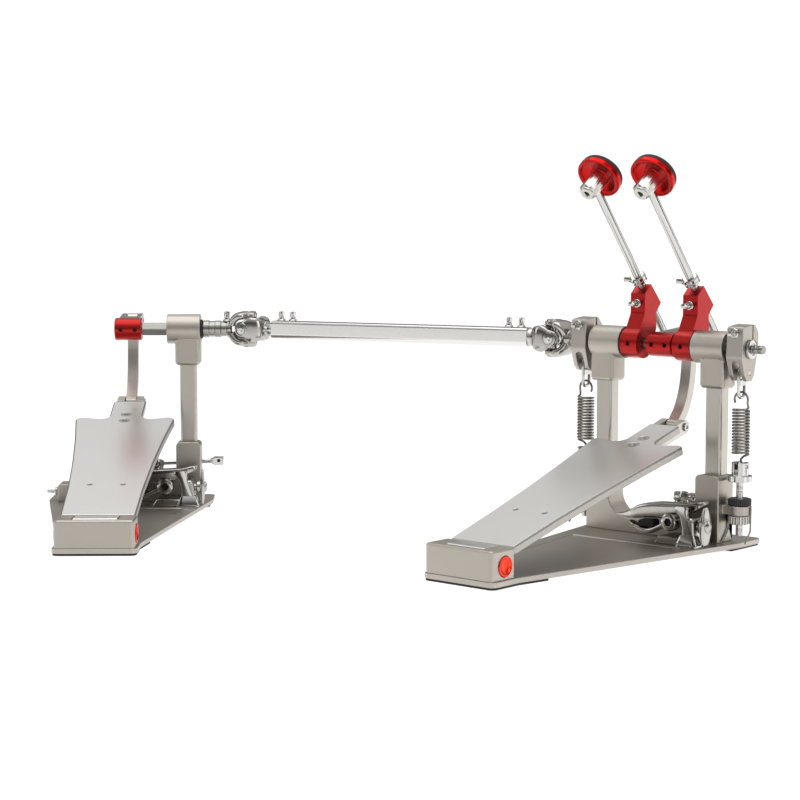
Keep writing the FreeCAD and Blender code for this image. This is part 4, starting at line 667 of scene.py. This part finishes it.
wire_along_path = wire_growth()
SPRING_MIDDLE = {"right": 0.09425, "left": -0.09425}
PIN_UP = 0.177
LINK_WIRE = 0.0017
LINK_LOW = 0.156
for side, middle in SPRING_MIDDLE.items():
    fettled(f"{side}_cam_casting", f"{side}_spring_cam", f"{side}_axle", "cast_grey", [casting_satin],
            width=0.0006)

    bolts = bmesh.new()
    key_bolt(bolts, (HOLDER_MIDDLE[side], 0.0020, 0.240), (0, -1, 0), 0.0140)
    key_bolt(bolts, (middle, -0.0133, 0.216), (0, -1, 0), 0.0107, 0.0048)
    spun(bolts, [(0.0018, -0.0093), (0.0024, -0.0088), (0.0024, 0.0088), (0.0018, 0.0093)],
         facing((middle, 0, PIN_UP), (1, 0, 0)), 32)
    if side == "right":
        spun(bolts, [(0.0041, 0), (0.0086, 0), (0.0095, 0.0007), (0.0095, 0.0026), (0.0086, 0.0031),
                     (0.0062, 0.0031), (0.0062, 0.0022), (0.0041, 0.0022), (0.0041, 0)],
             facing((middle + 0.00935, 0, AXLE_UP), (1, 0, 0)), 64)
    make(f"{side}_bolts_and_pin", bolts, f"{side}_axle", "chrome", [f"{side}_axle_bolts"], [chrome])

    # The link is a flattened ring of wire around the cam's pin, drawn in at its foot.
    ring = []
    for step in range(49):
        turn = 2 * math.pi * step / 48
        rise = (PIN_UP - LINK_LOW) / 2
        reach = 0.0053 if math.cos(turn) > 0 else 0.0053 - 0.0012 * abs(math.cos(turn))
        ring.append(Vector((middle, reach * math.sin(turn),
                            (PIN_UP + LINK_LOW) / 2 + math.copysign(rise, math.cos(turn))
                            * (1 if abs(math.sin(turn)) < 0.999 else 0) + reach * math.cos(turn))))
    bm = bmesh.new()
    added(bm, wire(ring, LINK_WIRE))
    prism(bm, [(-0.0046, 0.1640), (0.0046, 0.1640), (0.0050, 0.1690), (0.0034, 0.1706), (-0.0034, 0.1706),
               (-0.0050, 0.1690)], Matrix.Translation((middle, 0, 0)), -0.0017, 0.0017)
    make(f"{side}_hook_link", bm, f"{side}_hook", "chrome", [f"{side}_spring_hook"], [chrome])

# ---- Springs ------------------------------------------------------------------------
# Close-wound springs of dark nickel-plated wire. The top end opens into a full loop around
# the link, and the bottom end drops through the clevis and hooks around its pin.

spring_nickel = metal("spring_nickel", (0.22, 0.20, 0.175), 0.23, (1200, 1200, 1200), 0.06, 0.00001)
SPRING_MEAN = 0.0079
SPRING_WIRE = 0.00115
COIL_LOW, COIL_HIGH = 0.0955, 0.1410
COIL_TURNS, COIL_STEPS = 15, 28
COIL_START = math.radians(-15)
CLEVIS_PIN_UP, HOOK_RADIUS = 0.084, 0.0030
LOOP_UP, LOOP_RADIUS = 0.1500, 0.0076
for side, middle in SPRING_MIDDLE.items():
    # The bottom hook goes round the clevis pin, and its stem rises to the first coil.
    line = [Vector((middle, HOOK_RADIUS * math.sin(turn), CLEVIS_PIN_UP - HOOK_RADIUS * math.cos(turn)))
            for turn in map(math.radians, range(-140, 101, 20))]
    line += smooth_line([(middle, 0.0026, CLEVIS_PIN_UP + 0.0030), (middle, 0.0008, 0.0905),
                         (middle + 0.003, 0.0, 0.0935), (middle + SPRING_MEAN * 0.75, -0.002, 0.0950)], 5)
    for step in range(COIL_TURNS * COIL_STEPS + 1):
        turn = COIL_START + 2 * math.pi * step / COIL_STEPS
        rise = COIL_LOW + (COIL_HIGH - COIL_LOW) * step / (COIL_TURNS * COIL_STEPS)
        line.append(Vector((middle + SPRING_MEAN * math.cos(turn), SPRING_MEAN * math.sin(turn), rise)))
    # The top loop leaves the coil on the outer side and opens towards the other side.
    line.append(Vector((middle + SPRING_MEAN * 0.99 * math.cos(math.radians(5)), 0.0010, COIL_HIGH + 0.0012)))
    line += [Vector((middle + LOOP_RADIUS * math.cos(turn), 0.0, LOOP_UP + LOOP_RADIUS * math.sin(turn)))
             for turn in map(math.radians, range(-20, 211, 12))]
    if side == "left":
        line = [Vector((2 * middle - point.x, point.y, point.z)) for point in line]
    bm = bmesh.new()
    added(bm, wire(line, SPRING_WIRE, 10))
    coil = make(f"{side}_coil", bm, None, "spring_steel",
                [f"{side}_spring"], [spring_nickel])
    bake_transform(coil)

# ---- Spring tensioners --------------------------------------------------------------
# A threaded rod hangs through the boss of each primary foot under a chrome clevis. A black
# knob locks it from above, a knurled nut sets it from below, and two wire bails guard it.


def knurl_growth():
    """A tree that stands straight ridges around a ring."""
    tree, ids, given, real = growth_tree("knurl_ridges", Radius="Float", Height="Float", Ridge="Float",
                                         Count="Int")
    ring = tree.nodes.new("GeometryNodeMeshCircle")
    ridge = tree.nodes.new("GeometryNodeMeshCylinder")
    ridge.inputs["Vertices"].default_value = 10
    spread = tree.nodes.new("GeometryNodeInstanceOnPoints")
    joined_nodes(
        tree,
        ((given, "Count"), (ring, "Vertices")), ((given, "Radius"), (ring, "Radius")),
        ((given, "Ridge"), (ridge, "Radius")), ((given, "Height"), (ridge, "Depth")),
        ((ring, "Mesh"), (spread, "Points")), ((ridge, "Mesh"), (spread, "Instance")),
        ((spread, "Instances"), (real, "Geometry")),
    )
    return tree, ids


knurl_ridges = knurl_growth()
nut_steel = metal("nut_steel", (0.50, 0.48, 0.45), 0.27, (1500, 1500, 1500), 0.06, 0.00001)
knob_black = metal("knob_black", (0.020, 0.020, 0.022), 0.42, (1500, 1500, 1500), 0.08, 0.00004, 0.0, 0.2)
for side, middle in SPRING_MIDDLE.items():
    up = Matrix.Translation((middle, 0, 0))
    fettled(f"{side}_clevis_head", f"{side}_tension_rod", f"{side}_tensioner", "chrome", [chrome],
            width=0.0006)
    bm = bmesh.new()
    added(bm, grown(screw_thread, Radius=0.0034, Pitch=0.0011, Length=0.049, Depth=0.00035),
          up @ Matrix.Translation((0, 0, 0.0165)))
    make(f"{side}_tension_thread", bm, f"{side}_tensioner", "chrome", (), [chrome])
    bm = bmesh.new()
    spun(bm, [(0.0038, 0.0453), (0.0100, 0.0453), (0.0108, 0.0460), (0.0108, 0.0516), (0.0100, 0.0523),
              (0.0070, 0.0523), (0.0062, 0.0518), (0.0038, 0.0518), (0.0038, 0.0453)], up, 64)
    added(bm, grown(knurl_ridges, Radius=0.0108, Height=0.0058, Ridge=0.0008, Count=36),
          up @ Matrix.Translation((0, 0, 0.0488)))
    spun(bm, [(0.0038, 0.0357), (0.0100, 0.0357), (0.0106, 0.0350), (0.0100, 0.0344), (0.0098, 0.0280),
              (0.0106, 0.0274), (0.0098, 0.0267), (0.0038, 0.0267), (0.0038, 0.0357)], up, 64, finish=1)
    added(bm, grown(knurl_ridges, Radius=0.0100, Height=0.0072, Ridge=0.0013, Count=20),
          up @ Matrix.Translation((0, 0, 0.0312)), 1)
    bmesh.ops.remove_doubles(bm, verts=bm.verts[:], dist=1e-7)
    make(f"{side}_knob_and_nut", bm, f"{side}_tension_nuts", "chrome",
         [f"{side}_tension_nuts"], [knob_black, nut_steel])

bm = bmesh.new()
for middle in SPRING_MIDDLE.values():
    for offset in (-0.0128, 0.0128):
        at = middle + offset
        added(bm, wire(smooth_line([(middle + offset * 0.82, -0.002, 0.0452),
                                    (middle + offset * 0.97, 0, 0.0440),
                                    (at, 0, 0.0400), (at, 0, 0.0240), (at, -0.0010, 0.0195),
                                    (at, -0.0100, 0.0088)],
                                   6), 0.0009, 12))
make("wire_bails", bm, "root", "spring_steel", ["adjuster_bails"], [spring_nickel])

# ---- Universal joints and shaft -----------------------------------------------------
# Each joint is two forged chrome yokes at right angles around a cross with pressed-in caps.
# A polished square bar telescopes over a rod between them, locked by four key bolts.


def lofted(bm, stations, sides, square, finish=0):
    """Adds a forging through stations of (centre, half-width vector, half-height vector)."""
    rings = []
    for centre, wide, high in stations:
        ring = []
        for step in range(sides):
            turn = 2 * math.pi * (step + 0.5) / sides
            c, s = math.cos(turn), math.sin(turn)
            ring.append(bm.verts.new(centre + wide * math.copysign(abs(c) ** (2 / square), c)
                                     + high * math.copysign(abs(s) ** (2 / square), s)))
        rings.append(ring)
    faces = [tuple(rings[0]), tuple(reversed(rings[-1]))]
    for low, high_ring in zip(rings, rings[1:]):
        faces += [(low[i], low[(i + 1) % sides], high_ring[(i + 1) % sides], high_ring[i])
                  for i in range(sides)]
    for corners_of_face in faces:
        bm.faces.new(corners_of_face).material_index = finish


def between(stations, steps):
    """Stations along a smooth curve through the given ones, with their widths drawn in between."""
    rows = [smooth_line([station[k] for station in stations], steps) for k in range(3)]
    return list(zip(*rows))


YOKE_HUB_TO = 0.0285


def yoke(bm, place, pin_axis, hub_radius=0.0072):
    """Adds a yoke: its joint is the place's origin, and its hub runs along +X."""
    arms = place @ (Matrix.Identity(4) if pin_axis == "Z" else Matrix.Rotation(math.radians(90), 4, "X"))
    turn = arms.to_3x3()
    for up in (1, -1):
        rows = []
        for x, reach, half_width, half_thick, tilt in (
                (0.0192, 0.0040, 0.0105, 0.0046, 80), (0.0170, 0.0095, 0.0124, 0.0046, 60),
                (0.0130, 0.0132, 0.0136, 0.0046, 30), (0.0080, 0.0147, 0.0138, 0.0045, 8),
                (0.0030, 0.0150, 0.0112, 0.0043, 0), (0.0000, 0.0150, 0.0094, 0.0042, 0),
                (-0.0055, 0.0149, 0.0080, 0.0040, -4), (-0.0080, 0.0146, 0.0058, 0.0034, -8),
                (-0.0090, 0.0144, 0.0040, 0.0022, -8)):
            lean = math.radians(tilt)
            high = Vector((math.sin(lean) * half_thick, 0, up * math.cos(lean) * half_thick))
            rows.append((arms @ Vector((x, 0, up * reach)), turn @ Vector((0, half_width, 0)), turn @ high))
        lofted(bm, between(rows, 4), 28, 3.0)
        spun(bm, [(0.0040, 0.0125), (0.0080, 0.0125), (0.0084, 0.0150), (0.0082, 0.0186), (0.0074, 0.0197),
                  (0.0064, 0.0199), (0.0060, 0.0188), (0.0040, 0.0186), (0.0040, 0.0125)],
             facing(arms.translation, turn @ Vector((0, 0, up))), 56)
    along = place.to_3x3() @ Vector((1, 0, 0))
    spun(bm, [(hub_radius + 0.0014, 0.0185), (hub_radius + 0.0028, 0.0200), (hub_radius + 0.0024, 0.0236),
              (hub_radius, 0.0262), (hub_radius, YOKE_HUB_TO)], facing(place.translation, along))


def joint_cross(bm, place):
    """Adds a cross: four dished caps on two pins through a round body."""
    for axis in ((0, 0, 1), (0, 1, 0)):
        for side in (1, -1):
            out = place.to_3x3() @ (Vector(axis) * side)
            spun(bm, [(0.0034, 0), (0.0034, 0.0180), (0.0048, 0.0184), (0.0050, 0.0190), (0.0046, 0.0199),
                      (0.0024, 0.0201), (0.0018, 0.0195), (0, 0.0194)], facing(place.translation, out), 32)
    spun(bm, [(0, -0.0074), (0.0050, -0.0060), (0.0074, -0.0022), (0.0074, 0.0022), (0.0050, 0.0060),
              (0, 0.0074)],
         place, 32)


joint_near = Vector(HINGES["primary_cross_swing"]["pos_m"])
joint_far = Vector(HINGES["secondary_cross_swing"]["pos_m"])
shaft_run = joint_near - joint_far
SHAFT_LENGTH = shaft_run.length
bearing = math.atan2(shaft_run.y, shaft_run.x)
at_far = Matrix.Translation(joint_far) @ Matrix.Rotation(bearing, 4, "Z")
at_near = Matrix.Translation(joint_near) @ Matrix.Rotation(bearing + math.pi, 4, "Z")
BAR_END = 0.334

forged = metal("forged_chrome", (0.40, 0.385, 0.365), 0.16, (500, 500, 500), 0.05, 0.00002)
bar_polish = metal("bar_polish", (0.66, 0.65, 0.635), 0.17, (60, 1100, 1100), 0.05, 0.000006, cloud=0.02)

bm = bmesh.new()
yoke(bm, Matrix.Translation(joint_near), "Z")
spun(bm, [(AXLE_RADIUS, 0.023), (AXLE_RADIUS, 0.1155)], facing(joint_near, (1, 0, 0)), 48, finish=1)
make("left_axle_and_yoke", bm, "left_axle", "axle_steel", ["left_axle"], [forged, axle_steel])

bm = bmesh.new()
own = at_pedal("secondary")
across = own.to_3x3() @ Vector((1, 0, 0))
axle_line = facing(own @ Vector((0, 0, AXLE_UP)), across)
spun(bm, [(AXLE_RADIUS, -0.0152), (AXLE_RADIUS, 0.0155), (0.0078, 0.0158, 0.0068), (0.0078, 0.0430, 0.0068),
          (AXLE_RADIUS, 0.0433),
          (AXLE_RADIUS, 0.0843)], axle_line, 72, 6, 1)
spun(bm, [(0.0061, 0.0835), (0.0090, 0.0835), (0.0096, 0.0841), (0.0096, 0.0900), (0.0088, 0.0906),
          (0.0088, 0.0966),
          (0.0094, 0.0972), (0.0094, 0.1030), (0.0088, 0.1036), (0.0084, 0.1040), (0.0084, 0.1142),
          (0.0078, 0.1148),
          (0.0061, 0.1148)], axle_line, 64, finish=1)
yoke(bm, Matrix.Translation(joint_far) @ Matrix.Rotation(math.atan2(across.y, across.x) + math.pi, 4, "Z"),
     "Z")
key_bolt(bm, own @ Vector((0.110, 0, 0.2084)), (0, 0, 1), 0.0112, finish=2)
make("secondary_axle_and_yoke", bm, "secondary_axle", "axle_steel",
     ["secondary_axle"], [forged, axle_steel, chrome])

for name, place in (("primary", at_near), ("secondary", at_far)):
    bm = bmesh.new()
    joint_cross(bm, place)
    make(f"{name}_cross", bm, f"{name}_cross", "chrome", [f"{name}_joint_cross"], [chrome])

bm = bmesh.new()
near_length = SHAFT_LENGTH - BAR_END
yoke(bm, at_near, "Y")
along = at_near.to_3x3() @ Vector((1, 0, 0))
spun(bm, [(0.0072, 0.0200), (0.0094, 0.0222), (0.0096, 0.0230), (0.0096, near_length + 0.0002)],
     facing(joint_near, along), 48, finish=1)
make("near_shaft_yoke", bm, "shaft", "chrome", ["primary_shaft_fork"], [forged, barrel_satin])
bm = bmesh.new()
yoke(bm, at_far, "Y", 0.0070)
along = at_far.to_3x3() @ Vector((1, 0, 0))
spun(bm, [(0.0070, 0.0265), (0.0070, 0.160)], facing(joint_far, along), 48, finish=1)
make("shaft_rod_and_yoke", bm, "secondary_rod", "chrome", ["secondary_shaft_rod"], [forged, bar_polish])
fettled("shaft_square_bar", "shaft_bar", "shaft", "bright_aluminium", [bar_polish], width=0.0003)
bm = bmesh.new()
for at in (0.041, 0.055, 0.311, 0.325):
    key_bolt(bm, at_far @ Vector((at, 0, 0.0100)), (0, 0, 1), 0.0105)
make("shaft_key_bolts", bm, "shaft", "chrome", ["shaft_bolts"], [chrome])

# ---- Hoop clamps --------------------------------------------------------------------
# A forged rocker turns in a bore of the web: a broad lever and a claw in front of it, a
# jaw with a rubber pad behind it. A wing screw in a chrome bracket draws the lever down.

ROCKER = Vector((0.043, 0, 0.030))
clamp_chrome = metal("clamp_chrome", (0.43, 0.415, 0.39), 0.17, (260, 260, 260), 0.05, 0.00003)
for pedal, stand in PEDALS:
    own = at_pedal(pedal)
    turn = own.to_3x3()

    def station(x, y, z, wide, high, lean=0.0):
        """A section across X: half width along Y, half height leaning about Y."""
        slope = math.radians(lean)
        return (own @ Vector((x, y, z)), turn @ Vector((0, wide, 0)),
                turn @ (Vector((-math.sin(slope), 0, math.cos(slope))) * high))

    rocker = bmesh.new()
    lofted(rocker, between([
        station(-0.0290, -0.032, 0.0282, 0.0040, 0.0010), station(-0.0160, -0.033, 0.0298, 0.0076, 0.0028, 6),
        station(-0.0050, -0.034, 0.0322, 0.0088, 0.0052, 14),
        station(0.0050, -0.034, 0.0352, 0.0092, 0.0070, 12),
        station(0.0200, -0.034, 0.0374, 0.0094, 0.0078, 5),
        station(0.0360, -0.034, 0.0386, 0.0094, 0.0077, 5),
        station(0.0500, -0.034, 0.0404, 0.0092, 0.0066, 10),
        station(0.0620, -0.034, 0.0432, 0.0086, 0.0050, 18),
        station(0.0730, -0.034, 0.0474, 0.0074, 0.0032, 24),
        station(0.0775, -0.034, 0.0494, 0.0050, 0.0014, 24)],
        5), 32, 5.5)
    lofted(rocker, between([
        station(0.0440, -0.041, 0.0270, 0.0064, 0.0066, -20),
        station(0.0320, -0.041, 0.0232, 0.0070, 0.0044, -28),
        station(0.0180, -0.041, 0.0170, 0.0072, 0.0034, -12),
        station(0.0060, -0.041, 0.0182, 0.0068, 0.0032, 14),
        station(-0.0030, -0.041, 0.0218, 0.0056, 0.0028, 34),
        station(-0.0060, -0.041, 0.0240, 0.0030, 0.0014, 40)],
        5), 24, 3.4)
    boss = facing(own @ Vector((ROCKER.x, -0.0500, ROCKER.z - 0.0015)), turn @ Vector((0, 1, 0)))
    spun(rocker, [(0, 0.0050), (0.0042, 0.0050, 0.0038), (0.0042, 0.0001, 0.0038), (0.0072, 0),
                  (0.0086, 0.0008),
                  (0.0091, 0.0022), (0.0091, 0.0100), (0.0050, 0.0104), (0.0050, 0.0875)], boss, 48)
    spun(rocker, [(0, 0.0022), (0.0041, 0.0022, 0.00375), (0.0041, 0.0049, 0.00375), (0, 0.0049)], boss, 48,
         finish=1)
    lofted(rocker, [station(x, -0.041, 0.0246, 0.0062, high) for x, high in
                    ((0.0060, 0.0022), (0.0075, 0.0032), (0.0215, 0.0042), (0.0230, 0.0030))], 24, 6, 2)
    make(f"{pedal}_rocker", rocker, f"{pedal}_clamp", "chrome", (), [clamp_chrome, black_oxide, rubber])
    to_own = own.inverted()
    fettled(f"{pedal}_rear_jaw", f"{pedal}_clamp_rocker", f"{pedal}_clamp", "chrome", [clamp_chrome, rubber],
            lambda at, size: 1 if size.z < 0.006 else 0, width=0.0008,
            drop=lambda at, size, to_own=to_own: (to_own @ at).y < 0.005)

    fettled(f"{pedal}_bracket", f"{pedal}_clamp_foot", stand, "chrome", [clamp_chrome], width=0.0016,
            drop=lambda at, size: at.z > 0.035)
    foot = bmesh.new()
    lofted(foot, [(own @ Vector((x, -0.0515, z)), turn @ Vector((wide, 0, 0)), turn @ Vector((0, deep, 0)))
                  for x, z, wide, deep in ((0.0690, 0.0073, 0.0122, 0.0066), (0.0690, 0.0095, 0.0122, 0.0066),
                                           (0.0695, 0.0175, 0.0092, 0.0048),
                                           (0.0695, 0.0188, 0.0080, 0.0040))],
           28, 8)
    lofted(foot, [(own @ Vector((x, -0.0520, z)), turn @ Vector((wide, 0, 0)), turn @ Vector((0, 0.0022, 0)))
                  for x, z, wide in ((0.0690, 0.0180, 0.0075), (0.0670, 0.0260, 0.0052),
                                     (0.0640, 0.0360, 0.0046),
                                     (0.0610, 0.0420, 0.0070), (0.0605, 0.0450, 0.0080),
                                     (0.0605, 0.0462, 0.0066))],
           24, 4)
    make(f"{pedal}_bracket_foot", foot, stand, "chrome", (), [chrome])
    stud = bmesh.new()
    spun(stud, [(0.0058, 0.0381), (0.0065, 0.0388), (0.0065, 0.0440), (0.0058, 0.0452),
                (0.0072, 0.0452, 0.0073),
                (0.0085, 0.0462, 0.0073), (0.0085, 0.0518, 0.0073), (0.0070, 0.0530, 0.0073),
                (0.0040, 0.0530),
                (0.0034, 0.0522), (0, 0.0522)], own @ Matrix.Translation((0.030, -0.007, 0)), 72)
    make(f"{pedal}_web_nut", stud, stand, "chrome", (), [chrome])

    # A round handle lies in a lug behind the web and ends in a flat eye past the foot.
    handle = bmesh.new()
    reach = 0.076 if pedal == "primary" else 0.093
    spun(handle, [(0.0018, 0.024), (0.0024, 0.0246), (0.0024, reach - 0.0006), (0.0018, reach)],
         facing(own @ Vector((0, 0.0140, 0.0455)), turn @ Vector((1, 0, 0.04))), 24)
    if pedal == "secondary":
        lofted(handle, [station(x, 0.0140, 0.0494, deep, high) for x, deep, high in
                        ((0.0890, 0.0022, 0.0022), (0.0925, 0.0022, 0.0040), (0.0940, 0.0020, 0.0052),
                         (0.1030, 0.0020, 0.0052), (0.1040, 0.0014, 0.0044))], 28, 7)
        spun(handle, [(0, -0.0021), (0.0019, -0.0021), (0.0019, 0.0021), (0, 0.0021)],
             facing(own @ Vector((0.0985, 0.0140, 0.0496)), turn @ Vector((0, 1, 0))), 24, finish=1)
    lofted(handle, [station(0.0280, 0.0125, 0.0450, 0.0040, 0.0050),
                    station(0.0360, 0.0125, 0.0450, 0.0040, 0.0050)],
           20, 5)
    make(f"{pedal}_handle", handle, stand, "chrome", (), [chrome, black_oxide])

    wing = bmesh.new()
    screw_up = sum(c[2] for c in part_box(f"{pedal}_wing_screw")) / 2
    screw_at = own @ Vector((0.062, -0.046, screw_up))
    out = turn @ Vector((1, 0, 0))
    spun(wing, [(0.0028, 0), (0.0035, 0.0008), (0.0035, 0.0156), (0.0060, 0.0158), (0.0070, 0.0168),
                (0.0070, 0.0210),
                (0.0058, 0.0262), (0.0030, 0.0276), (0, 0.0278)], facing(screw_at, out), 48)
    lofted(wing, between([
        (own @ Vector((0.0845, -0.046, screw_up + z)), turn @ Vector((0, wide, 0)),
         turn @ Vector((thick, 0, 0)))
        for z, wide, thick in ((-0.0190, 0.0020, 0.0008), (-0.0172, 0.0056, 0.0014),
                               (-0.0090, 0.0082, 0.0022),
                               (0.0, 0.0086, 0.0032), (0.0090, 0.0078, 0.0022), (0.0172, 0.0046, 0.0014),
                               (0.0190, 0.0016, 0.0008))], 5), 28, 3.4)
    make(f"{pedal}_wings", wing, f"{pedal}_wing_screw", "chrome", [f"{pedal}_wing_screw"], [clamp_chrome])
